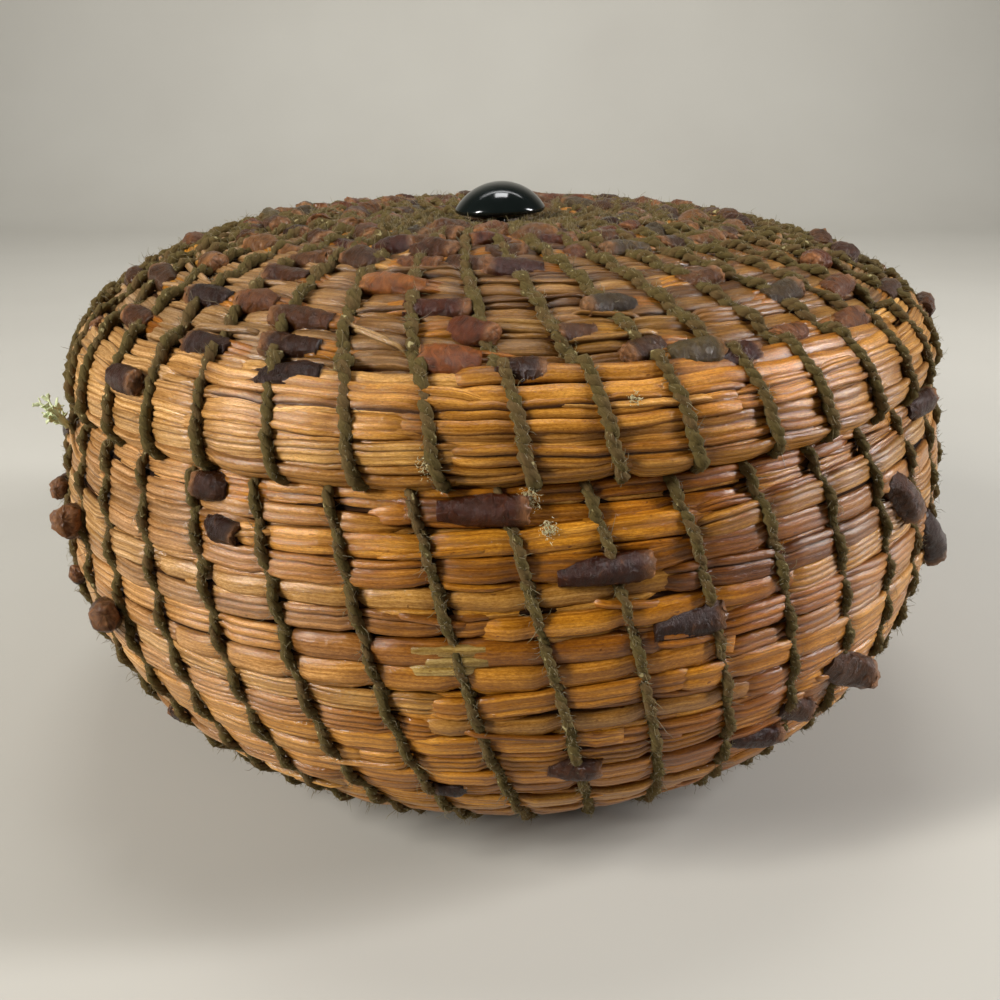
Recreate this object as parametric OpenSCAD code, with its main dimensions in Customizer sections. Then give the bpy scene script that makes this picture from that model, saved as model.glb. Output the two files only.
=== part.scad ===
// Lidded basket, coiled from long pine needles and stitched with two-ply thread.
// Millimetres, Z up. The origin is the middle of the footprint, on the table.
// The base and the lid are each one unbroken coil of needles, wound as a spiral
// from the centre out. The lid lifts straight off along Z.

/* [Basket] */
// Widest radius of the wall, over its coils
belly_r = 62; // [54:0.5:72]
// Height of the widest place above the table
belly_h = 31.5; // [27:0.5:36]
// Radius of the flat floor, to the middle of its last coil
floor_r = 28.5; // [22:0.5:34]
// Radius of the wall at the mouth, over its last coil
mouth_r = 58.8; // [54:0.2:61]
// Height of the mouth above the table
mouth_h = 50.6; // [46:0.2:56]
// Depth of the flat that the coils of the floor are pressed to
floor_cut = 0.5; // [0.4:0.05:0.6]

/* [Lid] */
// How far the lid's fat rim coil stands in from the outside of the mouth
lid_in = 0.2; // [-1:0.1:2]
// Height of the lid, from its lower edge to the top of its coils
lid_h = 18.8; // [17:0.2:23]
// Radius of the flat top, to the middle of its last coil
lid_top_r = 22.5; // [18:0.5:28]
// Depth of the dimple that the button's tie pulls into the middle of the lid
dimple = 1.2; // [0.6:0.1:1.8]
// Height of the fat rim coil
rim_h = 8; // [7:0.1:9]
// Thickness of the fat rim coil
rim_t = 6; // [5.4:0.1:6.6]
// Thickness of the locating ring under the lid
ring_t = 4.2; // [3.4:0.1:5]
// Depth that the locating ring reaches into the mouth
ring_drop = 3.4; // [2.4:0.1:5]

/* [Coils] */
// Distance from coil to coil in the wall and the floor
base_step = 5.3; // [4.8:0.1:6]
// Number of coils in the lid, without its rim
lid_coils = 12; // [11:1:13]
// Distance from coil to coil in the lid, before the coils share its length
lid_step = 4.6; // [4.3:0.1:5.4]
// Free gap between neighbouring coils
coil_gap = 0.55; // [0.5:0.05:0.8]
// Angle round the axis at which the coil of the base ends
base_end = 165; // [0:15:345]
// Angle round the axis at which the coil of the lid ends
lid_end = 195; // [0:15:345]
// Rings of the coil in one turn
turn_rings = 24; // [18:6:30]

/* [Stitches] */
// Slanting lines of stitches round the basket
lines = 44; // [36:2:52]
// Width of the thread
thread_d = 1.2; // [0.9:0.1:1.5]
// Turn of a line from one coil to the next, in degrees
slant = 1.4; // [0:0.1:2.4]

/* [Sheaths] */
// Diameter of a needle sheath
sheath_d = 2.9; // [2.4:0.1:3.4]
// Length of a needle sheath that shows
sheath_l = 6.2; // [4.5:0.1:6.6]

/* [Button] */
// Diameter of the button that serves as a knob
knob_d = 12.6; // [10:0.2:16]
// Height of the button
knob_h = 5.1; // [4:0.1:7]
// Radius of the rounded edge of the button
knob_edge = 0.5; // [0.3:0.05:0.8]
// Diameter of the thread that ties the button on
tie_d = 1.5; // [1:0.1:1.8]

/* [Clearances] */
// Gap between the lid and the mouth that it rests on
seat_gap = 0.3; // [0.3:0.05:0.5]
// Gap between the locating ring and the inside of the mouth
ring_gap = 0.9; // [0.8:0.05:1.2]
// Gap between the thread or a sheath and the coil under it
lay_gap = 0.16; // [0.14:0.01:0.25]

/* [Hidden] */

needle_tan = [0.76, 0.55, 0.31];
needle_orange = [0.68, 0.46, 0.22];
thread_olive = [0.30, 0.29, 0.18];
sheath_brown = [0.33, 0.17, 0.11];
sheath_copper = [0.55, 0.30, 0.20];
lichen_green = [0.62, 0.70, 0.48];

// A coil has a six-sided section. side_half is half its width towards its
// neighbours, and corner the distance from its middle to a corner.
sides = 6;
function side_half(step) = (step - coil_gap) / 2;
function corner(step) = side_half(step) / cos(30);
base_corner = corner(base_step);
lid_corner = corner(lid_step);

// Middle line of the base coil in section: flat floor, elliptic knuckle, wall.
floor_z = side_half(base_step) * cos(30) - floor_cut;
belly_cr = belly_r - base_corner;
mouth_cr = mouth_r - base_corner;
knuckle_steps = 24;
wall_steps = 12;
base_outline = concat(
    [[0, floor_z]],
    [for (i = [0:knuckle_steps]) let (a = 90 * i / knuckle_steps)
        [floor_r + (belly_cr - floor_r) * sin(a), belly_h - (belly_h - floor_z) * cos(a)]],
    [for (i = [1:wall_steps]) let (v = i / wall_steps)
        [belly_cr - (belly_cr - mouth_cr) * v * v, belly_h + (mouth_h - belly_h) * v]]
);

// Middle line of the lid in section: dimple, flat top, elliptic shoulder, short skirt.
lid_edge_h = mouth_h + seat_gap;
lid_top_z = lid_edge_h + lid_h - lid_corner;
skirt_h = rim_h / 4;
lid_r = mouth_r - lid_in;
lid_cr = lid_r - rim_t / 2;
dimple_r = 2 * lid_step;
lid_outline = concat(
    [[0, lid_top_z - dimple], [dimple_r, lid_top_z]],
    [for (i = [0:knuckle_steps]) let (a = 90 * i / knuckle_steps)
        [lid_top_r + (lid_cr - lid_top_r) * sin(a),
         lid_edge_h + skirt_h + (lid_top_z - lid_edge_h - skirt_h) * cos(a)]],
    [[lid_cr, lid_edge_h]]
);

// Tables of [length along a line, radius] and [length, height].
function lengths(line, i = 0, total = 0) = i >= len(line) ? [] : concat(
    [total + (i == 0 ? 0 : norm(line[i] - line[i - 1]))],
    lengths(line, i + 1, total + (i == 0 ? 0 : norm(line[i] - line[i - 1])))
);
function table(line, axis) = let (l = lengths(line)) [for (i = [0:len(line) - 1]) [l[i], line[i][axis]]];
base_r_of = table(base_outline, 0);
base_z_of = table(base_outline, 1);
lid_r_of = table(lid_outline, 0);
lid_z_of = table(lid_outline, 1);
base_length = base_r_of[len(base_r_of) - 1][0];
lid_whole = lid_r_of[len(lid_r_of) - 1][0];
lid_length = lid_whole - rim_h - coil_gap / 2;

// A line's point and its direction at a length s.
function at(rs, zs, s) = [lookup(s, rs), lookup(s, zs)];
function unit(v) = v / norm(v);
// Directions are taken a little way in from the ends.
function ends_in(rs, s) = max(0.5, min(rs[len(rs) - 1][0] - 0.5, s));
function along(rs, zs, s) = let (m = ends_in(rs, s)) unit(at(rs, zs, m + 0.4) - at(rs, zs, m - 0.4));
// Directions out of the basket: the base runs outwards and up, the lid outwards and down.
function base_out(d) = [d[1], -d[0]];
function lid_out(d) = [-d[1], d[0]];

// Turns of each coil, and the step at which they fill its length. The base gains or
// loses a turn with its size. The lid keeps its turns, as the sheaths lie by them.
start = 0.6;
base_turns = round(base_length / base_step - 0.5 - start) + 1;
lid_turns = lid_coils;
base_p = base_length / (base_turns - 0.5 + start);
lid_p = lid_length / (lid_turns - 0.5 + start);

// Length to the middle of a coil at turn t, and half the coil's share there.
// Over its last turn the bundle thins out, so that its free edge stays level, and
// it ends where only a few needles are left.
tip_w = 0.6;
function thinning(t, n) = max(0, t - (n - 1));
function half_share(t, n, p) = p / 2 * (1 - thinning(t, n));
function mid_length(t, n, p) = t <= n - 1 ? p * (t + start) : p * (n - 0.5 + start) - half_share(t, n, p);
function tip_turn(n, p) = floor((n - (coil_gap + tip_w) / p) * turn_rings) / turn_rings;
base_tip = tip_turn(base_turns, base_p);
lid_tip = tip_turn(lid_turns, lid_p);

// The coil starts thin in the centre and fills out over the first half turn.
function growth(t) = min(1, 0.62 + 0.76 * t);
// The coil turns from flat side down on the floor to corner out on the wall.
function base_roll(s) = 30 * (1 - min(1, max(0, (s - floor_r) / (1.8 * base_step))));

// A coil's section at turn t of one of the two coils, as the values that shape it:
// middle, direction along the outline, direction out, half width and half thickness.
// Where the outline bends, the inner corners close up, so the section is narrower.
function bend(rs, zs, s, p) = 2 * asin(norm(along(rs, zs, s + p / 2) - along(rs, zs, s - p / 2)) / 2)
    * PI / 180 / p;
function width(t, n, p, bent) =
    (half_share(t, n, p) * (1 - bent * corner(p) * 0.55) - coil_gap / 2) * growth(t);
function thick(t, n, p, roll) =
    side_half(p) / cos(30 - roll) * (1 - 0.5 * thinning(t, n)) * growth(t);
function base_s(t) = mid_length(t, base_turns, base_p);
function lid_s(t) = mid_length(t, lid_turns, lid_p);
function base_thick(t) = thick(t, base_turns, base_p, base_roll(base_s(t)));
function lid_thick(t) = thick(t, lid_turns, lid_p, 0);

// One ring of a coil: its six corners about a middle, at an angle round the axis.
function ring_corners(mid, d, out, roll, half_w, half_t, turn) = [
    for (j = [0:sides - 1])
        let (b = roll + 360 / sides * j)
        let (x = half_t * cos(b), y = half_w / cos(30 - roll) * sin(b))
        let (r = mid[0] + x * out[0] + y * d[0], z = mid[1] + x * out[1] + y * d[1])
        [r * cos(turn), r * sin(turn), max(0, z)]
];
function base_ring(t) = let (s = base_s(t), d = along(base_r_of, base_z_of, s))
    ring_corners(at(base_r_of, base_z_of, s), d, base_out(d), base_roll(s),
        width(t, base_turns, base_p, bend(base_r_of, base_z_of, s, base_p)),
        base_thick(t), 360 * t + base_end);
function lid_ring(t) = let (s = lid_s(t), d = along(lid_r_of, lid_z_of, s))
    ring_corners(at(lid_r_of, lid_z_of, s), d, lid_out(d), 0,
        width(t, lid_turns, lid_p, bend(lid_r_of, lid_z_of, s, lid_p)),
        lid_thick(t), 360 * t + lid_end);
function reversed(ring) = [for (i = [len(ring) - 1:-1:0]) ring[i]];

// Turns at which a coil has a ring: half as many in the tight first turns.
tight_turns = 2;
function ring_turns(tip) = concat(
    [for (i = [0:tight_turns * turn_rings / 2 - 1]) 2 * i / turn_rings],
    [for (i = [tight_turns * turn_rings:round(tip * turn_rings)]) i / turn_rings]
);

// A tube through rings of corners, closed at both ends.
module tube(rings) {
    m = len(rings[0]);
    last = len(rings) - 1;
    points = [for (ring = rings) each ring];
    skin = [for (i = [0:last - 1], j = [0:m - 1])
        let (a = i * m + j, b = i * m + (j + 1) % m)
        each [[a, b, a + m], [b, b + m, a + m]]];
    caps = [for (j = [1:m - 2]) each [[0, j + 1, j], [last * m, last * m + j, last * m + j + 1]]];
    polyhedron(points, concat(skin, caps));
}

// Least gap of a coil to itself, over its corners and the edges one turn on.
function to_edge(p, a, b) = let (u = b - a, k = max(0, min(1, (p - a) * u / (u * u)))) norm(p - a - k * u);
function ring_gap_to(ring, other) = min([
    for (p = ring, j = [0:len(other) - 1]) to_edge(p, other[j], other[(j + 1) % len(other)])
]);
function least_gap(rings, tt) = min([
    for (i = [0:len(rings) - 1], k = [i + 1:min(len(rings) - 1, i + turn_rings)])
        if (abs(tt[k] - tt[i] - 1) < 0.01) ring_gap_to(rings[i], rings[k])
]);

module base_coil() {
    tt = ring_turns(base_tip);
    rings = [for (t = tt) base_ring(t)];
    color(needle_tan) tube(rings);
    echo("base coil turns", base_turns, "least gap to itself", least_gap(rings, tt));
}

module lid_coil() {
    tt = ring_turns(lid_tip);
    rings = [for (t = tt) reversed(lid_ring(t))];
    color(needle_orange) tube(rings);
    echo("lid coil turns", lid_turns, "least gap to itself", least_gap(rings, tt));
}

// The wrapped start of the floor, which fills the eye of the spiral.
eye_r = base_p * start - base_thick(0) - lay_gap - 0.35;
module floor_start() {
    top = 2 * floor_z;
    color(thread_olive) {
        translate([0, 0, lay_gap]) cylinder(h = top - eye_r - lay_gap, r = eye_r, $fn = 32);
        translate([0, 0, top - eye_r]) sphere(r = eye_r, $fn = 32);
    }
}

// The rim: a fat coil with rounded upper and lower sides.
module oval(height, width) {
    translate([0, (height - width) / 2]) circle(d = width, $fn = 48);
    translate([0, (width - height) / 2]) circle(d = width, $fn = 48);
    square([width, height - width], center = true);
}
// It leans in with the outline of the lid.
rim_s = lid_whole - rim_h / 2;
rim_mid = at(lid_r_of, lid_z_of, rim_s);
rim_dir = along(lid_r_of, lid_z_of, rim_s);
rim_lean = atan2(rim_dir[0], -rim_dir[1]);
module lid_rim() {
    color(needle_tan)
        rotate_extrude($fn = 144)
            translate(rim_mid) rotate(rim_lean) oval(rim_h, rim_t);
}

// The locating ring stands inside the rim and reaches down into the mouth.
ring_outer = mouth_r - 2 * base_corner - ring_gap;
ring_h = ring_drop + rim_h * 0.6;
module locating_ring() {
    color(needle_tan)
        rotate_extrude($fn = 144)
            translate([ring_outer - ring_t / 2, lid_edge_h - ring_drop + ring_h / 2]) oval(ring_h, ring_t);
}

// The thread has a three-sided section, flat side down. lie is the height of its
// middle over what it lies on, and a valley is lower than the ridges beside it.
thread_r = thread_d / sqrt(3);
lie = (thread_r / 2 + lay_gap) / cos(30);
function valley(half) = half * tan(30);

// A coil's rings are joined by straight edges, so between rings it lies closer
// to the axis than at them. This is by how much, at an angle round the axis.
function chord(turn, end) = let (w = 360 / turn_rings, a = turn - end)
    cos(w / 2) / cos(a - floor(a / w) * w - w / 2);

// One ring of the thread: its corners about a point over a coil.
function thread_ring(mid, out, high, turn, end) = [
    for (j = [0:2])
        let (b = 120 * j, x = high + thread_r * cos(b), y = thread_r * sin(b))
        let (r = mid[0] * chord(turn, end) + x * out[0], z = mid[1] + x * out[1])
        [r * cos(turn) - y * sin(turn), r * sin(turn) + y * cos(turn), z]
];
function base_thread(s, high, turn) = thread_ring(at(base_r_of, base_z_of, s),
    base_out(along(base_r_of, base_z_of, s)), high, turn, base_end);
function lid_thread(s, high, turn) = thread_ring(at(lid_r_of, lid_z_of, s),
    lid_out(along(lid_r_of, lid_z_of, s)), high, turn, lid_end);

// Turn of a coil k coils in from its free edge, on the line that meets that edge
// at an angle. Lines slant on by the same angle at each coil.
function part_turn(angle) = let (a = angle / 360) a - floor(a);
function base_turn(angle, k) = base_turns - 1 + part_turn(angle - base_end) - k + slant * k / 360;
function lid_turn(angle, k) = lid_turns - 1 + part_turn(angle - lid_end) - k - slant * k / 360;
line_angle = 360 / lines;

// A stitched line crosses every coil at its ridge and dips into the valley between.
// It leaves out the last, thin stretch of the outermost coil.
thread_stop = 0.2;
function base_line(angle, count) = [
    for (k = [count - 1:-1:0]) each
        let (t = base_turn(angle, k), turn = 360 * t + base_end, half = half_share(t, base_turns, base_p))
        [
            if (t <= base_tip - thread_stop) base_thread(base_s(t), base_thick(t) + lie, turn),
            if (k > 0 && base_turn(angle, k - 1) <= base_tip - thread_stop)
                base_thread(base_s(t) + half, base_thick(t) + lie - valley(half), turn - slant / 2)
        ]
];
function lid_line(angle, first, count) = [
    for (k = [first + count - 1:-1:first]) each
        let (t = lid_turn(angle, k), turn = 360 * t + lid_end, half = half_share(t, lid_turns, lid_p))
        [
            if (t <= lid_tip - thread_stop) lid_thread(lid_s(t), lid_thick(t) + lie, turn),
            if (k > first && lid_turn(angle, k - 1) <= lid_tip - thread_stop)
                lid_thread(lid_s(t) + half, lid_thick(t) + lie - valley(half), turn + slant / 2)
        ]
];

wall_coils = 9;
slope_coils = 6;
top_coils = 2;
module wall_stitching() {
    color(thread_olive)
        for (i = [0:lines - 1]) tube(base_line(i * line_angle, wall_coils));
}
module lid_stitching() {
    color(thread_olive)
        for (i = [0:lines - 1]) tube([for (r = lid_line(i * line_angle, 0, slope_coils)) reversed(r)]);
}
// Towards the centre of the lid every second line ends, and then again.
module top_stitching() {
    color(thread_olive) {
        for (i = [0:2:lines - 1])
            tube([for (r = lid_line(i * line_angle, slope_coils, top_coils)) reversed(r)]);
        for (i = [0:4:lines - 1])
            tube([for (r = lid_line(i * line_angle, slope_coils + top_coils, top_coils)) reversed(r)]);
    }
}

// A stitch of the rim runs over its outer side, from a point on its upper round to
// one on its lower round.
rim_stitch_ends = 62;
rim_stitch_mid = 16;
module rim_stitching() {
    r = (rim_t / 2 + thread_r / 2 + lay_gap) / cos((rim_stitch_ends - rim_stitch_mid) / 2);
    half = (rim_h - rim_t) / 2;
    color(thread_olive)
        for (i = [0:lines - 1])
            tube([for (b = [-rim_stitch_ends, -rim_stitch_mid, rim_stitch_mid, rim_stitch_ends])
                let (e = b + rim_lean, up = sign(b) * half)
                let (x = rim_mid[0] + r * cos(e) - up * sin(rim_lean))
                let (z = rim_mid[1] + r * sin(e) + up * cos(rim_lean))
                let (turn = i * line_angle - slant * (z - lid_edge_h) / lid_step)
                [for (j = [0:2]) let (c = 120 * j)
                    let (q = x + thread_r * cos(c) * cos(e), y = thread_r * sin(c))
                    [q * cos(turn) - y * sin(turn), q * sin(turn) + y * cos(turn),
                     z + thread_r * cos(c) * sin(e)]]]);
}

// A sheath is the dark scaly sleeve at the foot of a cluster of needles. It lies
// along the coil, in the valley between two coils, and its broken tip is rounded.
module sheath(length, d) {
    r = d / 2;
    rotate([90, 0, 0])
        translate([0, 0, -length / 2])
            rotate_extrude($fn = 24)
                polygon([
                    [0, 0], [0.7 * r, 0], [0.96 * r, 0.3 * r], [r, 0.45 * length],
                    [0.9 * r, length - 0.7 * r], [0.55 * r, length - 0.15 * r], [0, length]
                ]);
}

// Height of a sheath's middle over the ridges, when it touches both sides of a valley.
function nest(d, half) = (d / 2 + lay_gap) / cos(30) - valley(half);

// Places of the sheaths, as [gap between two lines, counted from the front to the
// right, valley between two coils, counted from the free edge].
wall_front = [[-1, 0], [1, 1], [2, 2], [0, 5], [-1, 6], [3, 5], [-3, 0]];
wall_left = [[-4, 1], [-8, 1], [-7, 2], [-8, 3], [-6, 3], [-6, 6], [-11, 1], [-13, 2], [-12, 4]];
wall_right = [[5, 1], [7, 2], [4, 4], [4, 6], [6, 0], [9, 3], [11, 1], [12, 4], [8, 5]];
wall_back = [[15, 1], [17, 3], [20, 1], [-21, 2], [-19, 4], [-18, 1], [-16, 3], [22, 5],
    [19, 2], [-15, 1], [15, 4]];
slope_front = [[-3, 1], [-2, 3], [-1, 1], [-1, 2], [0, 0], [1, 1], [2, 0], [3, 0], [2, 2], [-2, 4],
    [0, 3], [3, 3]];
slope_left = [[-4, 2], [-5, 1], [-6, 2], [-5, 3], [-6, 0], [-7, 1], [-8, 3], [-9, 0], [-10, 2],
    [-12, 1], [-13, 3], [-7, 4], [-11, 4]];
slope_right = [[4, 0], [5, 1], [6, 3], [7, 0], [8, 2], [9, 1], [10, 3], [12, 0], [11, 2], [5, 4],
    [13, 3], [8, 4]];
slope_back = [[15, 1], [16, 3], [18, 0], [19, 2], [21, 3], [-21, 1], [-20, 3], [-18, 2], [-17, 3], [-15, 3],
    [17, 4], [-19, 4], [-16, 1], [20, 1]];

front = 270;
function gap_angle(gap) = front + (gap + 0.5) * line_angle;
// A sheath is no longer than what two neighbouring lines leave free at radius r.
end_gap = 0.4;
function free_length(r) = min(sheath_l, r * line_angle * PI / 180 - thread_d - 2 * end_gap);
module wall_sheath(spot) {
    k = spot[1] + 1;
    turn_at = base_turn(gap_angle(spot[0]), k);
    half = half_share(turn_at, base_turns, base_p);
    s = base_s(turn_at) + half;
    mid = at(base_r_of, base_z_of, s);
    d = along(base_r_of, base_z_of, s);
    high = base_thick(turn_at) + nest(sheath_d, half);
    rotate(360 * turn_at + base_end - slant / 2)
        translate([mid[0] + high * base_out(d)[0], 0, mid[1] + high * base_out(d)[1]])
            sheath(free_length(mid[0]), sheath_d);
}
module lid_sheath(turn_at, length, d_at) {
    half = half_share(turn_at, lid_turns, lid_p);
    s = lid_s(turn_at) + half;
    mid = at(lid_r_of, lid_z_of, s);
    d = along(lid_r_of, lid_z_of, s);
    // A straight sheath over a curved valley rides up by this much.
    ride = length * length / (8 * mid[0]) * tan(30);
    high = lid_thick(turn_at) + nest(d_at, half) + ride;
    rotate(360 * turn_at + lid_end + slant / 2)
        translate([mid[0] + high * lid_out(d)[0], 0, mid[1] + high * lid_out(d)[1]])
            sheath(length, d_at);
}
module slope_sheaths(spots) {
    color(sheath_copper)
        for (spot = spots) {
            turn_at = lid_turn(gap_angle(spot[0]), spot[1] + 1);
            lid_sheath(turn_at, free_length(lookup(lid_s(turn_at), lid_r_of)), sheath_d);
        }
}
module wall_sheaths(spots) {
    color(sheath_brown) for (spot = spots) wall_sheath(spot);
}
module wall_sheaths_front() { wall_sheaths(wall_front); }
module wall_sheaths_left() { wall_sheaths(wall_left); }
module wall_sheaths_right() { wall_sheaths(wall_right); }
module wall_sheaths_back() { wall_sheaths(wall_back); }
module slope_sheaths_front() { slope_sheaths(slope_front); }
module slope_sheaths_left() { slope_sheaths(slope_left); }
module slope_sheaths_right() { slope_sheaths(slope_right); }
module slope_sheaths_back() { slope_sheaths(slope_back); }

// On the flat top the sheaths lie close behind each other: in row k, under coil k,
// between lines that are some gaps apart, one or two to a gap. They fill most of it.
top_sheath_d = sheath_d * 0.9;
top_fill = 0.9;
module top_row(k, apart, per_gap) {
    for (i = [0:apart:lines - 1], j = [0:per_gap - 1]) {
        angle = (i + apart / 2) * line_angle;
        r = lookup(lid_s(lid_turn(angle, k)) + lid_p / 2, lid_r_of);
        free = (r * apart * line_angle * PI / 180 - thread_d - (per_gap + 1) * end_gap) / per_gap;
        shift = (j - (per_gap - 1) / 2) * (free * top_fill + end_gap) / r * 180 / PI;
        lid_sheath(lid_turn(angle + shift, k), free * top_fill, top_sheath_d);
    }
}
first_row = slope_coils;
module top_sheaths_inner() {
    color(sheath_copper) {
        top_row(first_row + 3, 4, 2);
        top_row(first_row + 4, 4, 1);
    }
}
module top_sheaths_middle() { color(sheath_copper) top_row(first_row + 2, 4, 2); }
module top_sheaths_outer() {
    color(sheath_copper) {
        top_row(first_row, 2, 1);
        top_row(first_row + 1, 2, 1);
    }
}

// The button: a domed lentil with a rounded edge, sunk part of the way into the dimple.
// It is two round caps on one circle, all made fatter by the radius of the edge.
eye_z = lid_top_z - 0.8 * dimple;
knob_z = eye_z + lid_corner + seat_gap;
knob_low = knob_h * 0.28;
knob_high = knob_h - knob_low;
arc_steps = 8;
function cap_r(half_w, high) = (half_w * half_w + high * high) / (2 * high);
module knob() {
    half_w = knob_d / 2 - knob_edge;
    up = cap_r(half_w, knob_high - knob_edge);
    down = cap_r(half_w, knob_low - knob_edge);
    up_end = asin(half_w / up);
    down_end = asin(half_w / down);
    color([0.03, 0.04, 0.05])
        translate([0, 0, knob_z + knob_low])
            rotate_extrude($fn = 96)
                polygon(concat(
                    [for (i = [0:arc_steps]) let (a = up_end * i / arc_steps, r = up + knob_edge)
                        [r * sin(a), knob_high - r + r * cos(a)]],
                    [for (i = [1:arc_steps - 1]) let (a = up_end + (180 - up_end - down_end) * i / arc_steps)
                        [half_w + knob_edge * sin(a), knob_edge * cos(a)]],
                    [for (i = [arc_steps:-1:0]) let (a = down_end * i / arc_steps, r = down + knob_edge)
                        [r * sin(a), r - knob_low - r * cos(a)]]
                ));
}

// The shank is a short post under the button, in the eye of the lid.
shank_h = 1.6;
module knob_shank() {
    color([0.03, 0.04, 0.05])
        translate([0, 0, knob_z - shank_h]) cylinder(h = shank_h, d = tie_d + 0.4, $fn = 32);
}

// The tie runs from the shank down through the eye to a knot under the lid.
knot_d = 3.2;
tie_low = eye_z - lid_corner - seat_gap;
module knob_tie() {
    color(thread_olive) {
        translate([0, 0, tie_low - knot_d / 2]) {
            cylinder(h = knob_z - shank_h - tie_low + knot_d / 2, d = tie_d, $fn = 32);
            sphere(d = knot_d, $fn = 32);
        }
    }
}

// A sprig of dry lichen is caught under the lid on the left: a stem with lobes.
sprig_angle = 203;
sprig_lobes = [[0, 0, 0], [1, 0.4, 0.3], [2, 0, 0.7], [3, 0.5, 0.6], [2.2, 0.9, 1.2]];
module lichen_sprig() {
    lobe_r = 0.8;
    k = 1;
    turn_at = base_turn(sprig_angle, k);
    half = half_share(turn_at, base_turns, base_p);
    s = base_s(turn_at) + half;
    mid = at(base_r_of, base_z_of, s);
    out = base_out(along(base_r_of, base_z_of, s));
    high = base_thick(turn_at) + nest(2 * lobe_r, half);
    color(lichen_green)
        rotate(sprig_angle + line_angle / 2)
            translate([mid[0] + high * out[0], 0, mid[1] + high * out[1]])
                for (p = sprig_lobes) translate(p) sphere(r = lobe_r, $fn = 24);
}

base_coil();
floor_start();
wall_stitching();
wall_sheaths_front();
wall_sheaths_left();
wall_sheaths_right();
wall_sheaths_back();
lichen_sprig();
lid_coil();
lid_rim();
locating_ring();
lid_stitching();
rim_stitching();
top_stitching();
slope_sheaths_front();
slope_sheaths_left();
slope_sheaths_right();
slope_sheaths_back();
top_sheaths_inner();
top_sheaths_middle();
top_sheaths_outer();
knob();
knob_shank();
knob_tie();
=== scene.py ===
# %% [markdown]
# # A lidded basket coiled from long pine needles
# The real object is a round basket about 125 mm wide. A bundle of dry pine needles is
# wound into one long spiral, and each turn is sewn to the turn before it with two-ply
# thread. The cell below loads the measured model, which fixes every size and place.
# Everything after it only dresses that model.

# %% Load the measured model
import math

import bpy
import numpy as np
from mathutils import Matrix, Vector


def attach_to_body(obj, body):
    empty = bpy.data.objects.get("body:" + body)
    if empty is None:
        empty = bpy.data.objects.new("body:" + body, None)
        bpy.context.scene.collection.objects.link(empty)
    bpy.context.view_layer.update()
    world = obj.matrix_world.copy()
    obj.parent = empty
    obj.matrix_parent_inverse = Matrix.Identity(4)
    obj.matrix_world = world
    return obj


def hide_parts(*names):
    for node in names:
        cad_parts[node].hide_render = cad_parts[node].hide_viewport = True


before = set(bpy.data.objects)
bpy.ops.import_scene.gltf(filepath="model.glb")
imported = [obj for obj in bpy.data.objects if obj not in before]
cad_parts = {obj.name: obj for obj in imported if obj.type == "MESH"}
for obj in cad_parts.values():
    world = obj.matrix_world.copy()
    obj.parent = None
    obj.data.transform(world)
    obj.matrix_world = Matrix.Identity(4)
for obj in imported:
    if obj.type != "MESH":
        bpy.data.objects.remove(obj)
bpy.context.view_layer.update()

# %% [markdown]
# ## Camera
# The picture was taken from close by and from a little above. Focal length, height,
# distance and tilt were worked out from the outlines of the belly, the lid and the
# button. The camera comes first, so that every later step can be looked at through it.

# %% Camera
MM = 0.001

def add_camera(focal_px, height_mm, distance_mm, tilt_deg):
    data = bpy.data.cameras.new("photo_camera")
    data.sensor_width = 36
    data.lens = focal_px / 1000 * data.sensor_width
    data.clip_start = 0.005
    camera = bpy.data.objects.new("photo_camera", data)
    bpy.context.scene.collection.objects.link(camera)
    camera.location = (0, -distance_mm * MM, height_mm * MM)
    camera.rotation_euler = (math.radians(90 - tilt_deg), 0, 0)
    bpy.context.scene.camera = camera
    return camera

camera = add_camera(focal_px=970, height_mm=84.5, distance_mm=141.5, tilt_deg=22.4)
print("lens", round(camera.data.lens, 1), "mm")

# %% [markdown]
# ## Colours and nodes
# Colours are written as sRGB hex values, the way a paint program shows them, and Blender
# mixes light with linear values. One function does that change. Another adds a shader
# node together with its settings and links. The rest name the steps that every material
# here takes: a noise, a range of it, a blend of two colours, a bump, and the surface.

# %% Helpers for colours and nodes
def linear(hex_colour):
    parts = [int(hex_colour[i:i + 2], 16) / 255 for i in (1, 3, 5)]
    return np.array([c / 12.92 if c <= 0.04045 else ((c + 0.055) / 1.055) ** 2.4 for c in parts])

def rgba(hex_colour):
    return (*linear(hex_colour), 1.0)

def add_node(tree, kind, inputs, **settings):
    node = tree.nodes.new(kind)
    for name, value in settings.items():
        setattr(node, name, value)
    for name, value in inputs.items():
        if isinstance(value, bpy.types.NodeSocket):
            tree.links.new(value, node.inputs[name])
        else:
            node.inputs[name].default_value = value
    return node

def mesh_tint(tree):
    return add_node(tree, "ShaderNodeAttribute", {}, attribute_name="tint").outputs["Color"]

def mesh_lie(tree):
    """Millimetres along a needle or ply, millimetres round it, and a number of its own."""
    return add_node(tree, "ShaderNodeAttribute", {}, attribute_name="lie").outputs["Vector"]

def noise(tree, place, scale=1.0, **more):
    return add_node(tree, "ShaderNodeTexNoise", {"Vector": place, "Scale": scale, **more}).outputs["Fac"]

def noise_along(tree, lie, fineness, **more):
    """fineness scales the noise along, round and between: below 1 draws it out in streaks."""
    place = add_node(tree, "ShaderNodeVectorMath", {0: lie, 1: fineness}, operation="MULTIPLY")
    return noise(tree, place.outputs[0], **more)

def between(tree, value, low, high, at_low=0.0, at_high=1.0):
    return add_node(tree, "ShaderNodeMapRange", {"Value": value, "From Min": low, "From Max": high,
                    "To Min": at_low, "To Max": at_high}).outputs["Result"]

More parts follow.
